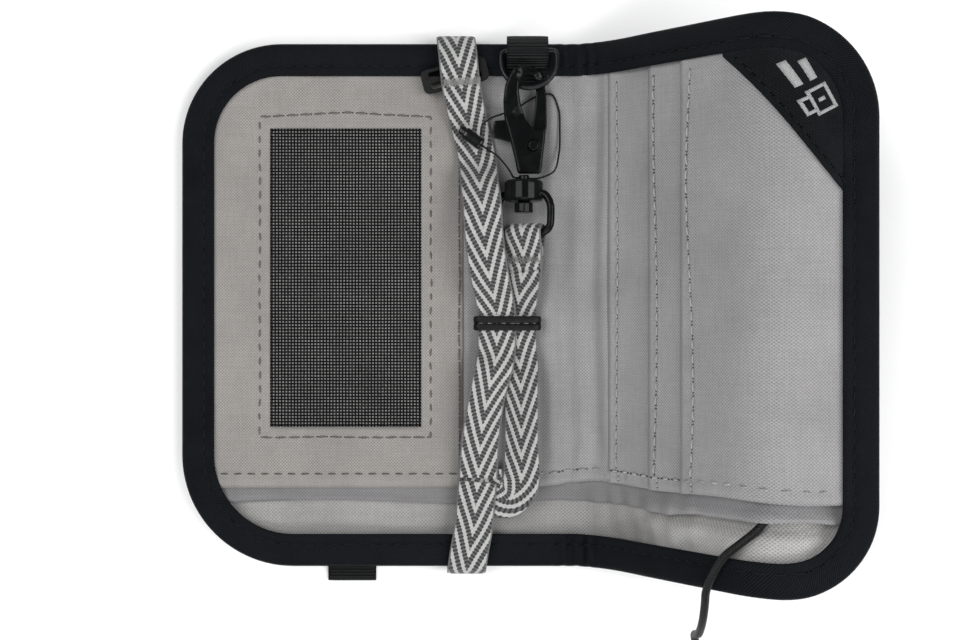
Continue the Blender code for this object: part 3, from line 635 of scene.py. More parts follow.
def herringbone(name):
    """Chevron webbing: white twisted yarns between grey ones flecked with black."""
    p = Paint(name)
    u, v = p.uv()
    off = p.math("ABSOLUTE", u)
    run = p.math("MULTIPLY_ADD", off, STRIPE_LEAN, v)
    phase = p.wave(run, STRIPE_PERIOD)
    beads = p.wave(p.math("MULTIPLY_ADD", off, -0.5, v), BEAD_PITCH)
    twist = p.wave(p.math("MULTIPLY_ADD", off, 3.4, v), BEAD_PITCH * 0.5)
    grain = p.noise(p.vector(u, v, 4.0), 3.2, 2.0)
    edge = p.math("MULTIPLY_ADD", beads, 0.26, p.math("MULTIPLY_ADD", grain, 0.7, phase))
    white = p.fit(edge, 0.36, 0.74)
    fleck = p.fit(p.math("ADD", beads, p.math("MULTIPLY", twist, 0.55)), -0.55, 0.15)
    dark = p.mix(fleck, (0.007, 0.007, 0.008), (0.100, 0.100, 0.100))
    pale = p.mix(p.fit(twist, -1.0, 0.3), (0.27, 0.27, 0.265), (0.58, 0.58, 0.57))
    body = p.mix(white, dark, pale)
    rim = p.fit(off, 4.45, 4.8)
    body = p.mix(rim, body, (0.13, 0.13, 0.13))
    height = p.math("ADD", white, p.math("MULTIPLY", twist, 0.16))
    height = p.math("ADD", height, p.math("MULTIPLY", grain, 0.3))
    p.bump(height, 0.14)
    return p.finish(Base_Color=p.scaled(body, p.fit(grain, 0.25, 0.75, 0.82, 1.1)),
                    Roughness=p.fit(white, 0.0, 1.0, 0.75, 0.6), Sheen_Weight=0.12,
                    Sheen_Roughness=0.5)


def thread_paint(name, colour, rough=0.6, gloss=0.3):
    """Twisted sewing thread."""
    p = Paint(name)
    u, v = p.uv()
    ply = p.wave(p.math("MULTIPLY_ADD", u, 1.1, v), 0.42)
    grain = p.noise(p.vector(u, v), 3.0, 2.0)
    amount = p.math("MULTIPLY", p.fit(ply, -1.0, 1.0, 0.74, 1.08),
                    p.fit(grain, 0.3, 0.7, 0.88, 1.1))
    p.bump(ply, 0.05)
    return p.finish(Base_Color=p.scaled(colour, amount), Roughness=rough,
                    Specular_IOR_Level=gloss)


def ribbed(name, colour, pitch, depth):
    """Grosgrain webbing with ribs across it."""
    p = Paint(name)
    u, v = p.uv()
    ribs = p.math("MULTIPLY_ADD", p.wave(v, pitch), 0.5, 0.5)
    fine = p.math("MULTIPLY_ADD", p.wave(u, 0.5), 0.15, ribs)
    grain = p.noise(p.vector(u, v), 1.8, 3.0)
    amount = p.math("MULTIPLY", p.fit(fine, 0.0, 1.0, 0.45, 1.25),
                    p.fit(grain, 0.3, 0.7, 0.8, 1.2))
    p.bump(p.math("ADD", fine, p.math("MULTIPLY", grain, 0.3)), depth)
    return p.finish(Base_Color=p.scaled(colour, amount),
                    Roughness=p.fit(grain, 0.3, 0.7, 0.5, 0.66), Specular_IOR_Level=0.2)


def hard(name, colour, rough, metallic=0.0, coat=0.0, spots=0.35, worn=None, gloss=0.5):
    """Moulded or cast black surface, with a faint orange peel and worn patches."""
    p = Paint(name)
    at = p.place()
    peel = p.noise(at, 1.1, 3.0)
    blotch = p.noise(at, 0.22, 4.0)
    fine = p.noise(at, 6.0, 2.0)
    worn = tuple(c * 1.8 + 0.002 for c in colour) if worn is None else worn
    base = p.mix(p.fit(blotch, 0.5, 0.78, 0.0, spots), colour, worn)
    p.bump(p.math("ADD", peel, p.math("MULTIPLY", fine, 0.25)), 0.06)
    return p.finish(Base_Color=base, Roughness=p.fit(blotch, 0.3, 0.75, rough, rough + 0.14),
                    Metallic=metallic, Coat_Weight=coat, Coat_Roughness=0.12,
                    Specular_IOR_Level=gloss)


def braided(name, colour, pitch):
    """A round braided cord."""
    p = Paint(name)
    u, v = p.uv()
    one = p.wave(p.math("MULTIPLY_ADD", u, 1.0, v), pitch)
    two = p.wave(p.math("MULTIPLY_ADD", u, -1.0, v), pitch)
    height = p.math("MAXIMUM", one, two)
    grain = p.noise(p.vector(u, v), 2.4, 3.0)
    amount = p.math("MULTIPLY", p.fit(height, -0.6, 1.0, 0.5, 1.3),
                    p.fit(grain, 0.3, 0.7, 0.8, 1.2))
    p.bump(height, 0.08)
    return p.finish(Base_Color=p.scaled(colour, amount), Roughness=0.5,
                    Specular_IOR_Level=0.3)


def foil_paint(name):
    """Thin metallised shielding film with fine creases."""
    p = Paint(name)
    at = p.place()
    crease = p.noise(at, 0.5, 5.0, 0.7)
    tint = p.mix(p.fit(crease, 0.3, 0.7), (0.42, 0.43, 0.45), (0.62, 0.63, 0.65))
    p.bump(crease, 0.3)
    return p.finish(Base_Color=tint, Metallic=1.0, Roughness=p.fit(crease, 0.3, 0.7, 0.25, 0.45))


# The maker of each material and what it is given
RECIPES = {
    "panel_warm": (woven, (0.278, 0.265, 0.249), (0.165, 0.157, 0.147), 0.4, 0.06),
    "panel_cool": (woven, (0.288, 0.284, 0.286), (0.172, 0.170, 0.171), 0.4, 0.06),
    # A brighter copy of panel_cool for the card slots: painted light on the sloping slots.
    "panel_card": (woven, (0.305, 0.301, 0.303), (0.186, 0.183, 0.185), 0.4, 0.06),
    # Divider and lining: the last number is painted light that brightens them across the right
    # half; the divider's darker base colour is painted shade from the hems above it.
    "divider": (woven, (0.190, 0.187, 0.191), (0.112, 0.110, 0.113), 0.4, 0.06, 0.62,
                0.10, 0.10, 0.35, 0.45),
    "lining": (woven, (0.292, 0.288, 0.282), (0.178, 0.175, 0.171), 0.45, 0.07, 0.62,
               0.10, 0.10, 0.35, 0.40),
    "backing": (woven, (0.62, 0.615, 0.60), (0.46, 0.455, 0.445), 0.4, 0.03),
    "shell": (woven, (0.0085, 0.010, 0.015), (0.004, 0.005, 0.007), 0.6, 0.10, 0.6, 0.01,
              0.2, 0.15),
    "binding": (twill, (0.0062, 0.0078, 0.0100), (0.0018, 0.0023, 0.0032), 0.62, 0.7, 0.10),
    "label": (twill, (0.0085, 0.0105, 0.0115), (0.0035, 0.004, 0.005), 0.7, 1.0, 0.10),
    "print": (thread_paint, (0.40, 0.41, 0.41), 0.7),
    "net": (thread_paint, (0.0045, 0.0047, 0.0052), 0.6, 0.12),
    "strap": (herringbone,),
    "thread_warm": (thread_paint, (0.180, 0.170, 0.158)),
    "thread_cool": (thread_paint, (0.47, 0.465, 0.46)),
    "thread_dark": (thread_paint, (0.0100, 0.0110, 0.0135), 0.6, 0.15),
    # Painted shade: the near-black colour inside the binding's and label's needle holes.
    "hole_dark": (thread_paint, (0.0012, 0.0013, 0.0015), 0.9, 0.05),
    "thread_pale": (thread_paint, (0.36, 0.36, 0.35)),
    # Painted shade: the dark grey inside the needle holes of the cloth stitches.
    "hole": (thread_paint, (0.085, 0.082, 0.079), 0.9, 0.1),
    "webbing": (ribbed, (0.0055, 0.0060, 0.0066), RIB_PITCH, 0.25),
    "ring": (hard, (0.020, 0.021, 0.023), 0.32, 0.8, 0.0, 0.5, (0.06, 0.06, 0.063)),
    "hook": (hard, (0.0026, 0.0031, 0.0032), 0.14, 0.0, 0.03, 0.3, None, 0.12),
    "rubber": (hard, (0.0036, 0.0038, 0.0041), 0.42, 0.0, 0.0, 0.3, None, 0.2),
    "gloss": (hard, (0.0030, 0.0032, 0.0034), 0.16, 0.0, 0.1, 0.2, None, 0.3),
    "string": (thread_paint, (0.0055, 0.0058, 0.0062), 0.35),
    "cord": (braided, (0.0030, 0.0032, 0.0035), 0.9),
    "foil": (foil_paint,),
}
MATS = {name: maker(name, *rest) for name, (maker, *rest) in RECIPES.items()}


# ---------------------------------------------------------------- camera, floor and light

def make_view():
    data = bpy.data.cameras.new("camera")
    data.lens = FOCAL_LENGTH
    data.sensor_width = 36.0
    data.shift_y = SHIFT_Y
    data.clip_start = 0.01
    data.clip_end = 20.0
    camera = bpy.data.objects.new("camera", data)
    bpy.context.scene.collection.objects.link(camera)
    camera.location = world(CAMERA_AT)
    bpy.context.scene.camera = camera
    bpy.context.scene.view_settings.view_transform = "Standard"


def make_floor():
    p = Paint("floor")
    at = p.place()
    soft = p.noise(at, 0.01, 3.0)
    tone = p.mix(p.fit(soft, 0.3, 0.7), (0.90, 0.90, 0.90), (0.93, 0.93, 0.93))
    paint = p.finish(Base_Color=tone, Roughness=0.9, Specular_IOR_Level=0.2)
    bm = bmesh.new()
    bmesh.ops.create_grid(bm, x_segments=2, y_segments=2, size=3.0)
    mesh = bpy.data.meshes.new("floor")
    bm.to_mesh(mesh)
    bm.free()
    mesh.materials.append(paint)
    floor = bpy.data.objects.new("floor", mesh)
    bpy.context.scene.collection.objects.link(floor)
    floor.location = (0.0, 0.0, cad_low.z)


def add_light(name, at, size, power):
    data = bpy.data.lights.new(name, "AREA")
    data.shape = "RECTANGLE"
    data.size, data.size_y = size
    data.energy = power
    light = bpy.data.objects.new(name, data)
    bpy.context.scene.collection.objects.link(light)
    light.location = at
    light.rotation_mode = "QUATERNION"
    light.rotation_quaternion = (-Vector(at)).to_track_quat("-Z", "Y")


def make_lights():
    add_light("key", (-0.62, 0.30, 0.95), (0.8, 0.8), 8.5)
    add_light("fill", (0.80, -0.10, 0.85), (0.8, 0.8), 10.5)
    add_light("front", (0.05, -0.90, 0.80), (0.9, 0.6), 7.0)
    shade = bpy.data.worlds.new("studio")
    shade.use_nodes = True
    shade.node_tree.nodes["Background"].inputs[0].default_value = (0.97, 0.98, 1.0, 1.0)
    shade.node_tree.nodes["Background"].inputs[1].default_value = 0.20
    bpy.context.scene.world = shade


# ---------------------------------------------------------------- cords

CORD_RADIUS = 1.0
COIL_OUTER = 12.0
COIL_INNER = 9.8
COIL_LAYERS = (1.05, 3.1, 5.15)
COIL_TURNS = 4.25
COIL_LEAD = 1.35
COIL_STEP = 10.0
CORD_EXIT = (52.4, -52.0, 5.6)


def coil_point(turned):
    """Radius and level of the coil's winding at that many degrees since it began."""
    shifts = (
        (285.0, 320.0, (COIL_OUTER, COIL_LAYERS[0]), (COIL_INNER, COIL_LAYERS[0])),
        (610.0, 640.0, (COIL_INNER, COIL_LAYERS[0]), (COIL_INNER, COIL_LAYERS[1])),
        (970.0, 1000.0, (COIL_INNER, COIL_LAYERS[1]), (COIL_INNER, COIL_LAYERS[2])),
        (1290.0, 1325.0, (COIL_INNER, COIL_LAYERS[2]), (COIL_OUTER, COIL_LAYERS[1])),
    )
    at = shifts[0][2]
    for first, last, before, after in shifts:
        share = smoothstep((turned - first) / (last - first))
        if turned >= first:
            radius = before[0] + (after[0] - before[0]) * min(1.0, share * COIL_LEAD)
            at = (radius, before[1] + (after[1] - before[1]) * share)
    return at


def make_tether():
    """The round cord from the note pocket to its coil on the table."""
    on_half = [bend(53.6, -49.2, 4.6), bend(53.2, -50.4, 4.9), bend(*CORD_EXIT),
               bend(49.8, -55.5, 7.6), bend(46.9, -59.0, 8.9), bend(44.2, -63.0, 8.75),
               bend(42.4, -66.5, 8.7), bend(41.6, -68.6, 8.4)]
    end = on_half[-1]
    drop = [(end.x + 0.05, end.y - 2.2, end.z - 0.9), (end.x + 0.1, -74.5, end.z - 3.0),
            (end.x + 0.6, -81.0, end.z - 11.0), (end.x + 1.6, -86.0, end.z - 22.0),
            (end.x + 3.0, -90.5, 8.6), (end.x + 4.6, -95.5, 2.6), (end.x + 5.2, -101.0, 1.4),
            (end.x + 4.9, -105.6, 1.15)]
    lead = Vector(drop[-1])
    centre = Vector((lead.x - COIL_OUTER, lead.y - 7.8, 0.0))
    winding = []
    for i in range(int(COIL_TURNS * 360.0 / COIL_STEP) + 1):
        turned = COIL_STEP * i
        radius, z = coil_point(turned)
        angle = -math.radians(turned)
        winding.append((centre.x + radius * math.cos(angle),
                        centre.y + radius * math.sin(angle), z))
    tail = [(-3.0, -12.0, 3.0), (-6.0, -12.05, 2.5), (-9.0, -12.0, 1.5), (-11.6, -11.9, 1.1),
            (-14.3, -10.7, 1.35), (-15.5, -8.8, 2.2), (-15.7, -7.4, 2.4)]
    tail = [(centre.x + x, centre.y + y, z) for x, y, z in tail]
    route = [tuple(p) for p in on_half] + drop + winding + tail
    path, along = even(catmull(route, len(route) * 6), 0.9)
    cord = tube("tether_cord", path, CORD_RADIUS, 14, "cord")
    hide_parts("tether_cord_pocket", "tether_cord_drop", "tether_coil")
    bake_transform(cord)
    world(bend(*CORD_EXIT))


SEAL_AT = Vector((-15.3, 43.2, 8.2))
SEAL_TURN = math.radians(-37.0)
STRING_RADIUS = 0.25


def make_tag():
    """The plastic seal of the swing tag and its thin loop round the hook."""
    along = Vector((math.cos(SEAL_TURN), math.sin(SEAL_TURN), 0.0))
    side = Vector((-along.y, along.x, 0.0))
    profile = ((-3.6, 0.25), (-3.58, 0.62), (-3.4, 0.95), (-3.15, 1.14), (-2.7, 1.2),
               (-2.2, 1.18), (-2.05, 1.22), (-1.95, 1.45), (-1.75, 1.58), (-1.0, 1.6),
               (0.2, 1.55), (1.6, 1.52), (2.8, 1.58), (3.15, 1.52), (3.38, 1.3), (3.5, 0.9),
               (3.52, 0.45))
    rings, uvs = [], []
    for distance, radius in profile:
        ring = []
        for j in range(28):
            angle = 2.0 * math.pi * j / 28
            flat = 0.9 if abs(math.sin(angle)) > 0.86 else 1.0
            ring.append(SEAL_AT + along * distance + side * (radius * math.cos(angle))
                        + Vector((0.0, 0.0, radius * flat * math.sin(angle))))
        rings.append(ring)
        uvs.append([(j * 0.3, distance) for j in range(28)])
    seal = loft("tag_seal_barrel", rings, uvs, "gloss")
    attach(seal, "left_half", ["tag_seal"])
    start = SEAL_AT + along * 3.45
    route = [
        tuple(start), tuple(SEAL_AT + along * 4.2), (-9.9, 39.2, 9.2), (-7.6, 36.8, 12.0),
        (-5.6, 34.2, 12.6), (-4.6, 32.7, 10.8), (-3.9, 32.7, 8.6), (-2.0, 32.7, 7.7),
        (2.2, 32.7, 8.0), (5.8, 34.2, 8.2), (7.4, 39.0, 6.4), (7.7, 45.0, 5.6),
        (7.2, 51.5, 5.4), (5.6, 54.6, 5.6), (2.0, 54.2, 5.6), (-3.0, 51.4, 5.6),
        (-7.2, 49.4, 6.6), (-10.4, 47.9, 8.4), (-12.6, 45.6, 9.7), (-12.8, 43.6, 9.0)]
    path, along_length = even(catmull(route, 400), 0.35)
    string = tube("tag_loop", path, STRING_RADIUS, 10, "string")
    attach(string, "left_half", ["tag_string"])


# ---------------------------------------------------------------- cloth of the two halves

def soft_noise(a, y, size, seed):
    return noise.noise(Vector((a / size, y / size, seed)))


def away_from_ends(a, margin=14.0):
    return smoothstep((a + LEFT_LENGTH) / margin) * smoothstep((RIGHT_LENGTH - a) / margin)


CORD_LEAVES_AT = 53.2
DIVIDER_LIFT = 1.9
LINING_LIFT = 2.6


def left_run(a):
    """1 along the left half's lower folds, fading towards its ends."""
    return window_of(a, -90.0, -14.0, 12.0)


def full_half(a):
    """The open note pocket stands fuller where the right half rises off the table."""
    return smoothstep((a - 16.0) / 12.0) * smoothstep((RIGHT_LENGTH - 4.0 - a) / 6.0)


def pucker(a, y):
    """Short gathers where the cloth bunches beside the crease near the lower edge."""
    near = window_of(a, 2.0, 34.0, 10.0) * window_of(y, -62.0, -46.0, 6.0)
    return near * 0.55 * math.sin(a * 1.05 + y * 0.32 + 1.4 * soft_noise(a, y, 9.0, 2.0))


def lining_ripple(a, y):
    flat = 0.10 * soft_noise(a, y, 14.0, 1.0)
    low = window_of(y, -62.0, -52.5, 2.0) * away_from_ends(a)
    long_fold = 0.30 * math.sin(y * 1.15 + a * 0.045 + 1.5 * soft_noise(a, y, 22.0, 4.0))
    lift = full_half(a) * smoothstep((-51.5 - y) / 3.0)
    crease = 0.35 * math.sin((a - y * 0.9) * 0.55 + 2.0 * soft_noise(a, y, 15.0, 7.0))
    ripple = min(0.35, flat + low * (0.9 * left_run(a) * long_fold + 0.8 * pucker(a, y)))
    return ripple + lift * (LINING_LIFT + crease)


def cord_bump(a, y):
    """The divider's lip lifts where the cord comes out from under it."""
    return hump(a, CORD_LEAVES_AT, 3.0) * smoothstep((-45.5 - y) / 3.4)


def divider_ripple(a, y):
    flat = 0.08 * soft_noise(a, y, 16.0, 5.0)
    lip = smoothstep((-45.5 - y) / 5.0) * away_from_ends(a)
    fold = 0.45 + 0.5 * math.sin(y * 1.5 + a * 0.06 + 2.0 * soft_noise(a, y, 20.0, 6.0))
    raised = flat + lip * (left_run(a) * fold * 0.8 + 0.25 + pucker(a, y)) + 1.5 * cord_bump(a, y)
    return raised + DIVIDER_LIFT * full_half(a) * smoothstep((-46.5 - y) / 4.0)


def hem_edge(a):
    share = smoothstep((a + 16.0) / 24.0)
    wave = 0.35 * math.sin(a * 0.16 + 0.7) * window_of(a, 0.0, 60.0, 10.0)
    return LEFT_HEM + (RIGHT_HEM - LEFT_HEM) * share + wave


def divider_edge(a):
    wave = 0.5 * math.sin(a * 0.09 + 1.0)
    sag = 0.5 * window_of(a, 6.0, 26.0, 10.0)
    return DIVIDER_EDGE + wave - sag + window_of(a, 38.0, 60.0, 10.0)


HEM_DEPTH_LEFT = 3.6
HEM_DEPTH_RIGHT = 3.2


def hem_depth(a):
    share = smoothstep((a + 16.0) / 24.0)
    return HEM_DEPTH_LEFT + (HEM_DEPTH_RIGHT - HEM_DEPTH_LEFT) * share


def hem_roll(a, y):
    """A turned hem: a shallow valley along the stitches and a roll below them."""
    up = (y - hem_edge(a)) / hem_depth(a)
    roll = 0.42 * math.sin(math.pi * clamp(up)) ** 0.8
    valley = -0.10 * hump(up, 1.0, 1.0 / 3.0)
    return (roll + valley) * away_from_ends(a, 9.0)


def front_ripple(a, y):
    flat = 0.16 * soft_noise(a, y, 24.0, 8.0) * away_from_ends(a)
    spine = window_of(a, -6.0, 13.0, 7.0) * window_of(y, -38.0, 54.0, 14.0)
    ridge = 0.85 * math.sin(a * 0.86 + 0.5 * math.sin(y * 0.07 + 1.0) + 0.6)
    gather = window_of(a, -4.0, 30.0, 8.0) * window_of(y, -47.0, -40.0, 5.0)
    gather *= 0.22 * math.sin(a * 1.25 + 0.8)
    return flat + spine * ridge * 0.8 + gather + 0.12 + hem_roll(a, y)


def frame_puff(x, y):
    """The id pocket's cloth puffs between its window and the row of stitches round it."""
    left, right, low, high = WINDOW
    out = max(left - x, x - right, low - y, y - high)
    return 0.22 * hump(out, 1.3, 1.0) - 0.14 * hump(out, 2.7, 0.6)


def id_ripple(a, y):
    x = CREASE_X + a
    edge = smoothstep((a + LEFT_LENGTH) / 12.0)
    flat = 0.20 * soft_noise(a, y, 20.0, 11.0) * edge
    crease = 0.10 * math.sin((x + y * 0.25) * 0.35) * window_of(y, 48.0, 62.0, 8.0)
    return flat + crease * edge + 0.10 + frame_puff(x, y) + hem_roll(a, y)


def slot_ripple(index):
    """Ripple of one card slot; only the front one, seen whole, shows its turned hem."""
    edge = SLOT_EDGES[index]
    hem_share = 0.7 if index == len(SLOT_EDGES) - 1 else 0.0

    def ripple(a, y):
        flat = 0.12 * soft_noise(a, y, 18.0, 13.0 + index) * smoothstep((RIGHT_LENGTH - a) / 12.0)
        roll = 0.3 * math.sin(math.pi * clamp((a - edge) / 2.6)) ** 0.8
        seam = -0.07 * hump(a - edge, 2.7, 0.6)
        return flat + roll + seam + hem_share * hem_roll(a, y)
    return ripple


FAR_LEFT = LAYER_INSET - LEFT_LENGTH
FAR_RIGHT = RIGHT_LENGTH - LAYER_INSET
POCKET_SEAM = ID_PANEL_EDGE - CREASE_X
LAYERS = {
    "shell": Layer(SHELL, FAR_LEFT, FAR_RIGHT, None, None),
    "lining": Layer(LINING, FAR_LEFT, FAR_RIGHT, None, None, lining_ripple),
    "divider": Layer(DIVIDER, FAR_LEFT, FAR_RIGHT, divider_edge, None, divider_ripple),
    "front": Layer(FRONT, POCKET_SEAM + 0.1, FAR_RIGHT, hem_edge, None, front_ripple),
    "id": Layer(FRONT, FAR_LEFT, POCKET_SEAM - 0.05, hem_edge, None, id_ripple),
}
SLOTS = [Layer(base, edge, FAR_RIGHT, hem_edge, None, slot_ripple(index))
         for index, (edge, base) in enumerate(zip(SLOT_EDGES, SLOT_LEVELS))]


def lay(name, layer, material, step, rows, body, nodes, hole=None):
    item = build_layer(name, layer, material, step, rows, hole)
    attach(item, body, nodes)
    low, high = layer.limits((layer.start + layer.end) / 2.0)
    flat = ((layer.end - layer.start) * MM, (high - low) * MM)
    area = min(layer.area(), flat[0] * flat[1])
    if hole is not None:
        area -= (hole[1] - hole[0]) * (hole[3] - hole[2]) * MM * MM


def make_cloth():
    lay("back_shell_cloth", LAYERS["shell"], "shell", 3.0, 48, None,
        ["back_shell_left", "back_shell_right"])
    lay("lining_cloth", LAYERS["lining"], "lining", 1.6, 110, None,
        ["lining_left", "lining_right"])
    lay("cash_divider_cloth", LAYERS["divider"], "divider", 1.4, 110, None,
        ["cash_divider_left", "cash_divider_right"])
    lay("card_back_cloth", LAYERS["front"], "panel_cool", 1.3, 100, None,
        ["spine_panel", "card_back_panel"])
    left, right, low, high = WINDOW
    lay("id_pocket_cloth", LAYERS["id"], "panel_warm", 1.5, 90, "left_half",
        ["id_pocket_panel"],
        (left - CREASE_X, right - CREASE_X, low, high))
    # The card slots take the brighter copy of the panel cloth, painted light.
    for layer, node in zip(SLOTS, ("card_slot_rear", "card_slot_middle", "card_slot_front")):
        lay(node + "_cloth", layer, "panel_card", 1.3, 90, "right_half",
            [node])


NET_PITCH = 0.83
NET_HALF_WIDTH = 0.205
NET_LEVEL = 4.22
NET_WAVE = 0.09
NET_MARGIN = 1.2


def net_strand(start, end, fixed, lengthwise, parity):
    """One flat yarn that goes over and under the yarns it crosses."""
    points, uvs = [], []
    count = max(2, round((end - start) / (NET_PITCH / 2.0)))
    for i in range(count + 1):
        at = start + (end - start) * i / count
        lift = NET_WAVE * (1.0 if (i // 2 + parity) % 2 else -1.0) * (0.0 if i % 2 else 1.0)
        for across, up in ((-NET_HALF_WIDTH, 0.0), (0.0, 0.10), (NET_HALF_WIDTH, 0.0),
                           (0.0, -0.10)):
            z = NET_LEVEL + lift + up
            x, y = (fixed + across, at) if lengthwise else (at, fixed + across)
            points.append(Vector((x, y, z)))
            uvs.append((across, at))
    return points, skin(count + 1, 4), uvs


def make_net():
    left, right, low, high = WINDOW
    left, right = left - NET_MARGIN, right + NET_MARGIN
    low, high = low - NET_MARGIN, high + NET_MARGIN
    parts = []
    columns = round((right - left) / NET_PITCH)
    rows = round((high - low) / NET_PITCH)
    for i in range(columns + 1):
        parts.append(net_strand(low, high, left + i * (right - left) / columns, True, i % 2))
    for j in range(rows + 1):
        parts.append(net_strand(left, right, low + j * (high - low) / rows, False, 1 - j % 2))
    net = join_parts("id_window_net", parts, "net")
    attach(net, "left_half", ["id_window_mesh"])
    backing = build_layer("id_pocket_backing", Layer(
        BACKING, left - CREASE_X, right - CREASE_X, lambda a: low, lambda a: high),
        "backing", 2.0, 40)
    attach(backing, "left_half")


# ---------------------------------------------------------------- binding

def outline_stations():
    """(a, y, inward a, inward y) once round the whole outline, clockwise from above."""
    path = []

    def straight(p, q, inward, step):
        count = max(2, round(math.dist(p, q) / step))
        for i in range(count):
            share = i / count
            path.append((p[0] + (q[0] - p[0]) * share, p[1] + (q[1] - p[1]) * share, *inward))

    def arc(centre, radius, first):
        for i in range(26):
            angle = first - math.pi / 2.0 * i / 26
            out = (math.cos(angle), math.sin(angle))
            path.append((centre[0] + radius * out[0], centre[1] + radius * out[1],
                         -out[0], -out[1]))

    top, left, right = HALF_HEIGHT, -LEFT_LENGTH, RIGHT_LENGTH
    (top_left, top_right), (low_left, low_right) = TOP_CORNERS, LOW_CORNERS
    down, up = (0.0, -1.0), (0.0, 1.0)
    straight((left + top_left, top), (-10.0, top), down, 0.9)
    straight((-10.0, top), (12.0, top), down, 0.45)
    straight((12.0, top), (right - top_right, top), down, 1.2)
    arc((right - top_right, top - top_right), top_right, math.pi / 2.0)
    straight((right, top - top_right), (right, low_right - top), (-1.0, 0.0), 1.5)
    arc((right - low_right, low_right - top), low_right, 0.0)
    straight((right - low_right, -top), (12.0, -top), up, 1.2)
    straight((12.0, -top), (-10.0, -top), up, 0.45)
    straight((-10.0, -top), (left + low_left, -top), up, 0.9)
    arc((left + low_left, low_left - top), low_left, -math.pi / 2.0)
    straight((left, low_left - top), (left, top - top_left), (1.0, 0.0), 1.5)
    arc((left + top_left, top - top_left), top_left, math.pi)
    return path


def binding_top(a):
    rise = smoothstep(a / FLANGE_RISE) if a > 0.0 else 0.0
    return FLANGE_LEFT + (FLANGE_RIGHT - FLANGE_LEFT) * rise + FLANGE


def binding_notch(a, y):
    """Cut-back and lift, each 0 to 1, of the lower lip under the strap or the pull tab."""
    if abs(y) < HALF_HEIGHT - 0.01 or a > 0.0:
        return 0.0, 0.0
    x = CREASE_X + a
    spans = STRAP_NOTCHES[:1] if y > 0.0 else (STRAP_NOTCHES[1], TAB_NOTCH)
    outside = min(max(low - x, x - high) for low, high in spans)
    return smoothstep(2.0 - outside), smoothstep(1.0 - outside)


BINDING_GROOVE = 6.0
BINDING_SEAM = (-28.2, -HALF_HEIGHT)


def binding_profile(a, y):
    top = binding_top(a)
    cut_back, lift = binding_notch(a, y)
    foot = 1.25 * lift
    reach = BINDING_WIDTH + (BINDING_WALL + 0.3 - BINDING_WIDTH) * cut_back
    near = window_of(a, -2.0, 3.0, 6.0) if abs(y) > 50.0 else 0.0
    wrinkle = near * 0.38 * math.sin(a * 1.9 + (0.0 if y > 0.0 else 1.0))
    wobble = 0.07 * soft_noise(a * 1.7, y * 1.7, 6.0, 21.0)
    top_line = [
        (0.0, top - 1.9), (0.07, top - 1.2), (0.32, top - 0.62), (0.8, top - 0.22),
        (1.5, top - 0.04), (2.4, top + 0.02), (3.4, top + 0.02), (4.4, top), (5.2, top - 0.04),
        (5.65, top - 0.14), (BINDING_GROOVE, top - 0.24), (6.35, top - 0.13),
        (6.9, top - 0.02), (7.7, top), (8.25, top - 0.05), (8.5, top - 0.18),
        (BINDING_WIDTH, top - 0.36)]
    shaped = []
    for d, n in top_line:
        lift_here = (wrinkle + wobble) * smoothstep(d / 2.0)
        shaped.append((d + 0.15 * wrinkle, n + lift_here - abs(wrinkle) * 0.3))
    inner = [(8.5, top - 0.55), (8.2, top - FLANGE), (2.0, top - FLANGE),
             (1.35, top - FLANGE - 0.1), (BINDING_WALL, top - FLANGE - 0.4),
             (BINDING_WALL, foot + FLANGE + 0.4), (1.35, foot + FLANGE + 0.1),
             (min(2.0, reach), foot + FLANGE), (reach - 0.3, foot + FLANGE),
             (reach, foot + FLANGE - 0.2), (reach, foot + 0.2), (reach - 0.3, foot),
             (min(4.0, reach - 0.2), foot), (1.4, foot + 0.02), (0.75, foot + 0.2),
             (0.28, foot + 0.58), (0.05, foot + 1.2)]
    return shaped + inner


def make_binding():
    path = outline_stations()
    first = min(range(len(path)), key=lambda k: math.dist(path[k][:2], BINDING_SEAM))
    path = path[first:] + path[:first + 1]
    rings, uvs = [], []
    gone = 0.0
    for i, (a, y, in_a, in_y) in enumerate(path):
        if i:
            gone += math.dist(path[i - 1][:2], (a, y))
        ring, row, across = [], [], 0.0
        before = None
        for d, n in binding_profile(a, y):
            ring.append(place(a + in_a * d, y + in_y * d, n))
            if before is not None:
                across += math.dist(before, (d, n))
            before = (d, n)
            row.append((across, gone))
        rings.append(ring)
        uvs.append(row)
    tape = loft("binding_tape", rings, uvs, "binding")
    attach(tape, None, ["binding_left", "binding_right"])


# ---------------------------------------------------------------- stitches

# Half sizes in a and y of the needle holes; rise and thickness of a thread in its radius
ROUND_HOLE = (0.26, 0.21)
LONG_HOLE = (0.62, 0.26)
EDGE_HOLE = (0.24, 0.30)
THREAD_ARCH = (-0.5, 0.4167, 0.875, 1.0417, 0.875, 0.4167, -0.5)
THREAD_WIDTH = (0.55, 0.85, 1.0, 1.05, 1.0, 0.85, 0.55)


def stitch_row(surface, line, pitch, radius, share=0.74, sway=0.0, hole=ROUND_HOLE):
    """Threads and holes along a line of (a, y); surface(a, y, above) gives the cloth."""
    path, along = even([(a, y, 0.0) for a, y in line], pitch / 6.0)
    total = along[-1]
    count = max(1, round(total / pitch))
    threads, holes = [], []

    def at(distance):
        distance = max(0.0, min(total, distance))
        return [float(np.interp(distance, along, path[:, k])) for k in (0, 1)]

    for i in range(count):
        middle = (i + 0.5) * total / count
        half = total / count * share / 2.0
        ahead, behind = at(middle + 0.3), at(middle - 0.3)
        da, dy = ahead[0] - behind[0], ahead[1] - behind[1]
        shift = sway * math.sin(i * 2.4) / (math.hypot(da, dy) or 1.0)
        points = []
        for step, up in zip(range(-3, 4), THREAD_ARCH):
            a, y = at(middle + half * step / 3.0)
            points.append(surface(a - dy * shift * step / 3.0, y + da * shift * step / 3.0,
                                  up * radius - 0.02))
        threads.append(tube_part(points, [radius * width for width in THREAD_WIDTH], 7))
        for end in (-1.0, 1.0):
            a, y = at(middle + end * (half + 0.08))
            holes.append(hole_part(surface, a, y, hole))
    return threads, holes


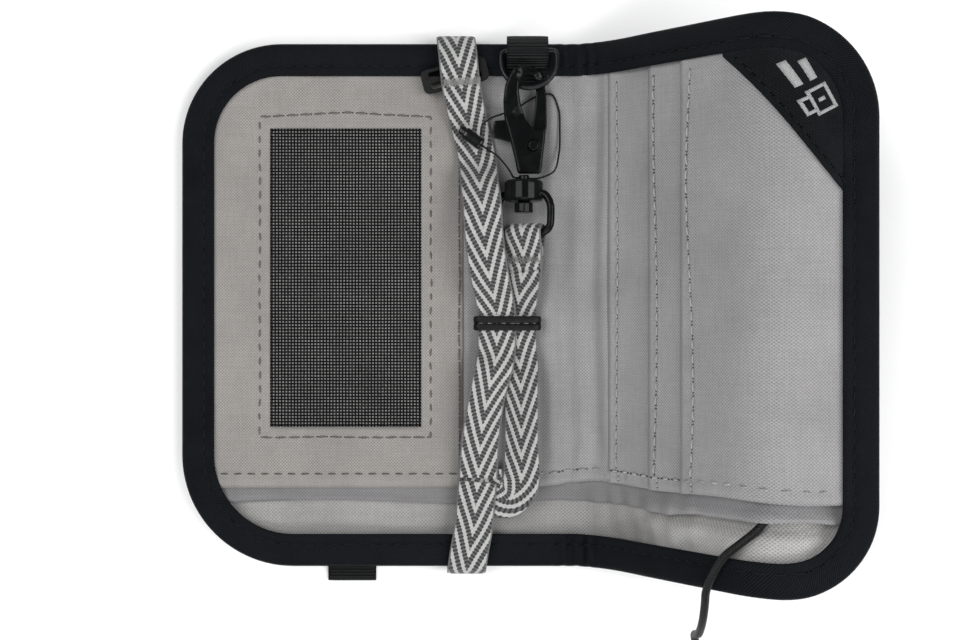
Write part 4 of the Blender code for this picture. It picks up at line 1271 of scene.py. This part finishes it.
def hole_part(surface, a, y, size):
    """A small dimple where the thread goes through the cloth; sew() gives it a dark material as
    painted shade.
    """
    points = [surface(a, y, 0.012)]
    for share, above in ((1.0, 0.03), (0.9, -0.12)):
        for j in range(8):
            angle = 2.0 * math.pi * j / 8
            points.append(surface(a + size[0] * share * math.cos(angle),
                                  y + size[1] * share * math.sin(angle), above))
    points.append(surface(a, y, -0.12))
    faces = []
    for j in range(8):
        k = (j + 1) % 8
        faces += [(0, 1 + j, 1 + k), (1 + j, 9 + j, 9 + k, 1 + k), (17, 9 + k, 9 + j)]
    return points, faces, [(p.x, p.y) for p in points]


def line_of(points, count=40):
    """A straight or bent line of (a, y) through points of (x, y) of the left half."""
    points = [(x - CREASE_X, y) for x, y in points]
    result = []
    for p, q in zip(points, points[1:]):
        for i in range(count):
            result.append((p[0] + (q[0] - p[0]) * i / count, p[1] + (q[1] - p[1]) * i / count))
    return [*result, points[-1]]


def hem_line(first, last, count):
    """The stitches' line along the pocket's hem."""
    return [(a, hem_edge(a) + hem_depth(a)) for a in np.linspace(first, last, count)]


def sew(name, rows, thread, body, hole="hole"):
    """Build threads and their holes, whose dark material is painted shade; body None means across
    the crease.
    """
    threads = [part for row in rows for part in row[0]]
    holes = [part for row in rows for part in row[1]]
    attach(join_parts(name + "_thread", threads, thread), body)
    attach(join_parts(name + "_holes", holes, hole), body)


def shifted(line, wave, size, seed):
    return [(a + size * soft_noise(a, y, wave, seed), y + size * soft_noise(y, a, wave, seed + 3))
            for a, y in line]


def make_stitches():
    ident = LAYERS["id"].top
    frame_line = [(-70.3, -34.4), (-70.3, 49.0), (-48.0, 50.1), (-25.8, 49.0), (-25.8, -34.4),
                  (-70.3, -34.4)]
    seam = [(-18.4, 60.0), (-18.4, -43.0)]
    sew("id_pocket", [
        stitch_row(ident, shifted(line_of(frame_line), 12.0, 0.25, 31.0), 3.6, 0.24, 0.66, 0.12),
        stitch_row(ident, shifted(line_of(seam), 14.0, 0.2, 33.0), 3.5, 0.22, 0.68, 0.1),
    ], "thread_warm", "left_half")

    sew("left_hem", [stitch_row(ident, hem_line(-93.0, -30.0, 90), 3.5, 0.23, 0.68, 0.08)],
        "thread_warm", "left_half")
    spine_hem = stitch_row(LAYERS["front"].top, hem_line(-28.5, 7.0, 50), 3.5, 0.24, 0.56, 0.1,
                           LONG_HOLE)
    sew("spine_hem", [spine_hem], "thread_cool", None)

    rows = []
    for index, layer in enumerate(SLOTS):
        edge = SLOT_EDGES[index] + SLOT_SEAMS[index]
        wander, turn = SLOT_WANDER[index]
        line = [(edge + wander * math.sin(y * turn + 0.8 + index), y)
                for y in np.linspace(57.5, hem_edge(edge) + 3.6, 90)]
        rows.append(stitch_row(layer.top, line, 3.5, 0.27, 0.7, 0.14, EDGE_HOLE))
        first = SLOT_EDGES[index] + 0.6
        last = SLOT_EDGES[index + 1] - 0.2 if index < 2 else 66.0
        rows.append(stitch_row(layer.top, hem_line(first, last, 60), 3.6, 0.25, 0.5, 0.1,
                               LONG_HOLE))
        tack = [(edge + 0.5, hem_edge(edge) + 3.2), (edge + 0.5, hem_edge(edge) + 0.8)]
        rows.append(stitch_row(layer.top, tack, 1.2, 0.22, 0.8))
    sew("card_slots", rows, "thread_cool", "right_half")

    path = outline_stations()
    path.append(path[0])

    def on_binding(a, y, above):
        return place(a, y, binding_top(a) - 0.24 + above)

    line = [(a + in_a * BINDING_GROOVE, y + in_y * BINDING_GROOVE)
            for a, y, in_a, in_y in path]
    sew("binding", [stitch_row(on_binding, line, 3.3, 0.2, 0.72, 0.1)], "thread_dark", None,
        "hole_dark")


# ---------------------------------------------------------------- corner label

LABEL_START = 45.4
LABEL_CORNER = (44.7, 58.4)
LABEL_SLOPE = -1.28
LABEL_END = RIGHT_LENGTH - BINDING_WIDTH + 1.2


def label_diagonal(a):
    """Edge of the patch: one straight line as seen from above."""
    x = place(a, 0.0, LABEL[0]).x
    return LABEL_CORNER[1] + LABEL_SLOPE * (x - LABEL_CORNER[0])


def label_ripple(a, y):
    return 0.10 + 0.10 * soft_noise(a, y, 9.0, 17.0)


def plate_part(surface, left, right, low, high):
    """A thin strip between two lines of (a, y), following the cloth."""
    points, uvs = [], []
    for p, q in zip(left, right):
        points += [surface(*p, high), surface(*q, high), surface(*q, low), surface(*p, low)]
        uvs += [p, q, q, p]
    return points, skin(len(left), 4), uvs


def make_label():
    label = Layer(LABEL, LABEL_START, LABEL_END, label_diagonal, None, label_ripple,
                  BINDING_WIDTH - 1.4)
    lay("corner_label_patch", label, "label", 1.0, 44, "right_half",
        ["corner_label"])
    line = [(a, label_diagonal(a) + 2.6) for a in np.linspace(LABEL_START + 3.0, LABEL_END, 50)]
    sew("corner_label", [stitch_row(label.top, line, 3.0, 0.2, 0.7, 0.08)], "thread_dark",
        "right_half", "hole_dark")
    make_print(label)


PRINT_AT = (61.3, 50.2)
PRINT_TURN = math.radians(118.0)


def make_print(label):
    """A plain padlock outline and two bars, printed pale on the label."""
    def turned(u, v):
        return (PRINT_AT[0] + u * math.cos(PRINT_TURN) - v * math.sin(PRINT_TURN),
                PRINT_AT[1] + u * math.sin(PRINT_TURN) + v * math.cos(PRINT_TURN))

    bars = []

    def bar(u0, v0, u1, v1, width):
        size = math.hypot(u1 - u0, v1 - v0)
        du, dv = (u1 - u0) / size, (v1 - v0) / size
        count = max(1, round(size / 0.8))
        sides = []
        for h in (width / 2.0, -width / 2.0):
            steps = [(u0 + (u1 - u0) * k / count - dv * h, v0 + (v1 - v0) * k / count + du * h)
                     for k in range(count + 1)]
            sides.append([turned(u, v) for u, v in steps])
        bars.append(plate_part(label.top, sides[0], sides[1], -0.04, 0.07))

    for line in ((-6.6, -2.8, -6.6, 1.4, 0.8), (-1.0, -2.8, -1.0, 1.4, 0.8),
                 (-7.0, -2.8, -0.6, -2.8, 0.8), (-7.0, 1.4, -0.6, 1.4, 0.8),
                 (-5.5, 1.4, -5.5, 3.6, 0.8), (-2.1, 1.4, -2.1, 3.6, 0.8),
                 (-5.9, 3.6, -1.7, 3.6, 0.8), (-3.8, -1.5, -3.8, 0.1, 0.9),
                 (1.0, 2.0, 7.4, 2.0, 1.7), (1.0, -1.2, 6.2, -1.2, 1.7)):
        bar(*line)
    attach(join_parts("corner_label_icon", bars, "print"), "right_half")


# ---------------------------------------------------------------- strap

STRAP_WIDTH = 10.0
STRAP_THICKNESS = 0.9
STRAP_ACROSS = 26
STRAP_STEP = 0.36
STRAP_RELIEF = 0.09
LEAD_SHIFT = 1.0
END_START = 40.0
WRAP = (
    (-13.6, -45.6, 7.4, 0), (-14.0, -50.0, 7.3, 0), (-14.6, -57.0, 7.2, 0),
    (-15.8, -64.0, 7.0, 0), (-16.4, -68.2, 6.5, 0), (-16.6, -69.7, 3.9, 0),
    (-16.6, -69.6, 1.6, 0), (-16.7, -68.3, 0.55, 0), (-16.8, -67.0, 0.5, 0),
    (-16.8, -64.5, 0.5, 0), (-17.2, -40.0, 0.5, 0), (-18.0, 0.0, 0.5, 0),
    (-18.8, 40.0, 0.5, 0), (-19.2, 64.5, 0.5, 0), (-19.2, 67.0, 0.5, 0),
    (-19.3, 68.3, 0.55, 0), (-19.3, 69.6, 1.6, 0), (-19.3, 69.7, 3.9, 0),
    (-19.2, 68.6, 7.0, 0), (-18.8, 65.5, 8.6, 0), (-17.8, 56.1, 8.5, 0),
    (-17.0, 52.0, 8.3, 0), (-15.8, 46.6, 6.0, 0), (-14.3, 40.7, 5.6, 0))
STRAP_FRONT = (
    (-13.6, 37.0, 6.4, 0), (-13.1, 31.0, 10.4, 0), (-12.5, 26.0, 12.3, 0),
    (-12.1, 19.0, 12.6, 0), (-11.3, 12.0, 12.6, 0), (-10.4, 6.5, 11.4, 0),
    (-9.3, 1.5, 8.8, 0), (-8.8, -1.2, 7.8, 0), (-8.7, -5.0, 7.7, 0), (-8.7, -10.0, 7.7, 0),
    (-8.8, -12.5, 7.95, 0), (-9.4, -15.8, 9.0, -6), (-10.3, -19.5, 8.8, -14),
    (-12.3, -29.9, 7.9, -16), (-13.3, -40.3, 7.4, -6), (-13.5, -44.6, 7.4, 0))
RUN = (
    (-1.44, 12.6, 10.07, 25), (-1.5, 10.4, 10.04, 25), (-2.0, 7.8, 9.6, 24),
    (-2.6, 4.5, 8.0, 14), (-3.1, 0.5, 6.6, 2), (-3.2, -5.0, 6.45, 0),
    (-3.2, -10.0, 6.45, 0), (-3.0, -12.5, 6.55, 3), (-2.6, -15.8, 7.0, 14),
    (-2.4, -19.5, 7.8, 24), (-2.2, -29.9, 8.2, 30), (-2.2, -38.0, 7.9, 26))
FOLD = (
    (-2.1, -41.5, 7.7, 20), (-2.6, -46.0, 7.4, 12), (-5.2, -49.9, 6.9, 4),
    (-9.0, -50.2, 6.3, 0), (-11.6, -47.0, 6.15, 0), (-12.2, -43.0, 6.15, 0))
EYE_ROLL = math.radians(25.0)
HOOK_X = -1.8
HOOK_Z = 9.9


def eye_point(x, y, z):
    """A point given about the hook's long axis, rolled with the swivel eye."""
    return Vector((HOOK_X + x * math.cos(EYE_ROLL) - z * math.sin(EYE_ROLL), y,
                   HOOK_Z + x * math.sin(EYE_ROLL) + z * math.cos(EYE_ROLL)))


def webbing_rings(centres, across, normals, distances, width, shape):
    """Rings of a strip; shape(u, share, distance) gives its two half thicknesses."""
    rings, uvs = [], []
    for centre, side, up, distance in zip(centres, across, normals, distances):
        centre, side, up = Vector(centre), Vector(side), Vector(up)
        top, bottom, row = [], [], []
        for j in range(STRAP_ACROSS + 1):
            share = 2.0 * j / STRAP_ACROSS - 1.0
            u = share * width / 2.0
            over, under = shape(u, share, distance)
            top.append(centre + side * u + up * over)
            bottom.append(centre + side * u - up * under)
            row.append((u, distance))
        rings.append(top + bottom[::-1])
        uvs.append(row + row[::-1])
    return rings, uvs


def strap_shape(u, share, distance):
    """Chevrons raised on both faces, thinner at the edges."""
    edge = share ** 8
    chevron = 0.5 + 0.5 * math.sin(
        2.0 * math.pi * (abs(u) * STRIPE_LEAN + distance) / STRIPE_PERIOD)
    half = STRAP_THICKNESS / 2.0 * (1.0 - 0.55 * edge) - STRAP_RELIEF
    half += STRAP_RELIEF * chevron * (1.0 - edge)
    return half, half


def strap_frames(path):
    """Centres, width directions and normals of dense (x, y, z, roll, upright) stations."""
    across, normals = [], []
    for run, row in zip(tangents(path[:, :3]), path):
        run = Vector(run)
        roll = math.radians(row[3])
        level = Vector((1.0, 0.0, 0.0))
        flat = Vector((-run.y, run.x, 0.0)).normalized()
        side = level.lerp(flat, row[4]).normalized() if row[4] > 0.0 else level
        reach = side * math.cos(roll) + Vector((0.0, 0.0, 1.0)) * math.sin(roll)
        reach = (reach - run * reach.dot(run)).normalized()
        across.append(reach)
        normals.append(run.cross(reach).normalized() * -1.0)
    return path[:, :3], across, normals


def strap_piece(name, nodes, body, frames, distances):
    """One length of the strap over its centres, width directions and normals."""
    item = loft(name, *webbing_rings(*frames, distances, STRAP_WIDTH, strap_shape), "strap")
    attach(item, body, nodes)


def make_strap():
    loop = [(*p, 0.0) for p in WRAP + STRAP_FRONT]
    path, gone = even(catmull(loop, 1600), STRAP_STEP)
    strap_piece("strap_band", ["strap_wrap", "strap_front"], "left_half", strap_frames(path), gone)

    lead = [(*p, 0.0) for p in RUN] + [(*p, 1.0) for p in FOLD]
    path, gone = even(catmull(lead, 700), STRAP_STEP)
    strap_piece("strap_lead", ["strap_run", "strap_fold"], "left_half", strap_frames(path),
                gone + LEAD_SHIFT)

    half = [(8.9, 1.0), (12.0, 1.02), (15.0, 1.22), (17.2, 1.7), (18.6, 1.9), (19.9, 1.4),
            (20.45, 0.0)]
    whole = half + [(y, -z) for y, z in reversed(half[:-1])]
    dense, gone = even(catmull([(y, z, 0.0) for y, z in whole], 300), STRAP_STEP)
    origin = eye_point(0.0, 0.0, 0.0)
    centres = [eye_point(0.4, y, z) for y, z, _ in dense]
    across = [eye_point(1.0, 0.0, 0.0) - origin] * len(dense)
    normals = [eye_point(0.0, -run[1], run[0]) - origin for run in tangents(dense)]
    strap_piece("strap_end_cloth", ["strap_end_loop"], "eye", (centres, across, normals),
                END_START - gone)


def bar_tack(name, body, rows, turns, radius, at):
    """Rows of zigzag thread; at(share, row, side) places each of their turns."""
    parts = []
    for row in range(rows):
        points = [at(i / turns, row, 1.0 if i % 2 else -1.0) for i in range(turns + 1)]
        parts.append(tube_part(points, [radius] * len(points), 7))
    attach(join_parts(name, parts, "thread_pale"), body)


def make_tacks():
    """Bar tacks across the strap, and the short one that closes its end loop."""
    def across_band(share, row, side):
        return (-22.3 + 9.4 * share, 56.4 + 0.62 * row + 0.34 * side + 0.6 * share,
                8.98 - 0.05 * side)

    def across_end(share, row, side):
        return tuple(eye_point(-3.9 + 8.6 * share, 11.2 + 0.7 * row + 0.36 * side, 1.5))

    bar_tack("strap_bar_tack", "left_half", 3, 20, 0.24, across_band)
    bar_tack("end_loop_tack", "eye", 2, 18, 0.22, across_end)


# ---------------------------------------------------------------- tabs and fittings

TAB_ACROSS = 12

def make_tab(name, node, path, x0, x1, thickness):
    """Thin ribbed webbing in a plane of constant X, along (y, z) points."""
    dense, gone = even(catmull([(0.0, y, z) for y, z in path], 200), 0.3)
    rings, uvs = [], []
    for (_, y, z), run, distance in zip(dense, tangents(dense), gone):
        normal = Vector((0.0, -run[2], run[1]))
        top, bottom, row = [], [], []
        for j in range(TAB_ACROSS + 1):
            share = j / TAB_ACROSS
            edge = 1.0 - 0.5 * (2.0 * share - 1.0) ** 8
            rib = 0.07 * math.sin(distance * 2.0 * math.pi / RIB_PITCH)
            half = thickness / 2.0 * edge
            x = x0 + (x1 - x0) * share
            at = Vector((x, y, z))
            top.append(at + normal * (half + rib * edge))
            bottom.append(at - normal * (half + rib * edge * 0.4))
            row.append((x - x0, distance))
        rings.append(top + bottom[::-1])
        uvs.append(row + row[::-1])
    item = loft(name, rings, uvs, "webbing")
    attach(item, "left_half", [node])


def make_tabs():
    make_tab("ring_tab_webbing", "ring_tab",
             ((57.0, 5.9), (63.0, 5.9), (66.4, 6.0), (68.4, 6.8), (69.0, 8.2), (68.0, 9.5),
              (65.6, 10.1), (63.4, 9.3), (62.2, 7.5), (61.2, 7.0)),
             -6.1, 4.5, 0.4)
    make_tab("pull_tab_webbing", "pull_tab",
             ((-58.2, 0.24), (-64.0, 0.24), (-70.9, 0.22), (-72.2, 0.32), (-72.55, 0.52),
              (-72.2, 0.72), (-70.9, 0.78), (-67.0, 0.76), (-64.0, 0.76), (-58.2, 0.76)),
             -53.0, -40.4, 0.28)


def make_keeper():
    """Two turns of a rubber band round both runs of the strap."""
    left, right, bottom, top = -12.85, 0.95, 6.9, 7.25
    corner, steps, sides = 1.25, 8, 14
    rim = []
    for quarter, centre in enumerate(((right, top), (left, top), (left, bottom), (right, bottom))):
        for i in range(steps + 1):
            angle = math.pi / 2.0 * (quarter + i / steps)
            rim.append((*centre, math.cos(angle), math.sin(angle)))
    parts = []
    for y, lean in ((-3.82, 0.12), (-5.58, -0.1)):
        points, faces, uvs = [], [], []
        for i, (x, z, out_x, out_z) in enumerate(rim):
            sag = lean * math.sin(2.0 * math.pi * i / len(rim))
            for j in range(sides):
                k, m = (j + 1) % sides, (i + 1) % len(rim)
                angle = 2.0 * math.pi * j / sides
                out = corner + 0.32 + 0.30 * math.cos(angle)
                points.append(Vector((x + out_x * out, y + sag + 0.88 * math.sin(angle),
                                      z + out_z * out)))
                uvs.append((j * 0.3, i * 1.0))
                faces.append((i * sides + j, i * sides + k, m * sides + k, m * sides + j))
        parts.append((points, faces, uvs))
    band = join_parts("keeper_bands", parts, "rubber")
    attach(band, "keeper", ["strap_keeper"])


# Voxel size and rounds of smoothing that soften each fitting's edges, and its material
SOFTENED = {
    "snap_hook_frame": (0.22, 5, "hook"),
    "hook_gate": (0.2, 4, "hook"),
    "swivel_eye": (0.2, 4, "hook"),
    "swivel_stud": (0.18, 3, "hook"),
    "gate_rivet": (0.15, 3, "hook"),
    "d_ring": (0.16, 4, "ring"),
    "strap_slider": (0.16, 4, "rubber"),
    "tether_end": (0.2, 4, "rubber"),
}
REPAINTED = {"gate_spring": "ring", "shield_foil_left": "foil", "shield_foil_right": "foil"}


def repaint(node, material):
    mesh = frame["nodes"][node].data
    mesh.materials.clear()
    mesh.materials.append(MATS[material])


def make_hardware():
    """Round off the hard fittings' edges, as casting and plating do, and paint them."""
    for node, (voxel, rounds, material) in SOFTENED.items():
        item = frame["nodes"][node]
        remesh = item.modifiers.new("skin", "REMESH")
        remesh.mode = "VOXEL"
        remesh.voxel_size = voxel * MM
        remesh.use_smooth_shade = True
        ease = item.modifiers.new("ease", "SMOOTH")
        ease.factor = 0.5
        ease.iterations = rounds
        repaint(node, material)
    for node, material in REPAINTED.items():
        repaint(node, material)


make_view()
make_tether()
make_tag()
make_floor()
make_lights()
make_cloth()
make_net()
make_binding()
make_stitches()
make_label()
make_strap()
make_tacks()
make_tabs()
make_keeper()
make_hardware()
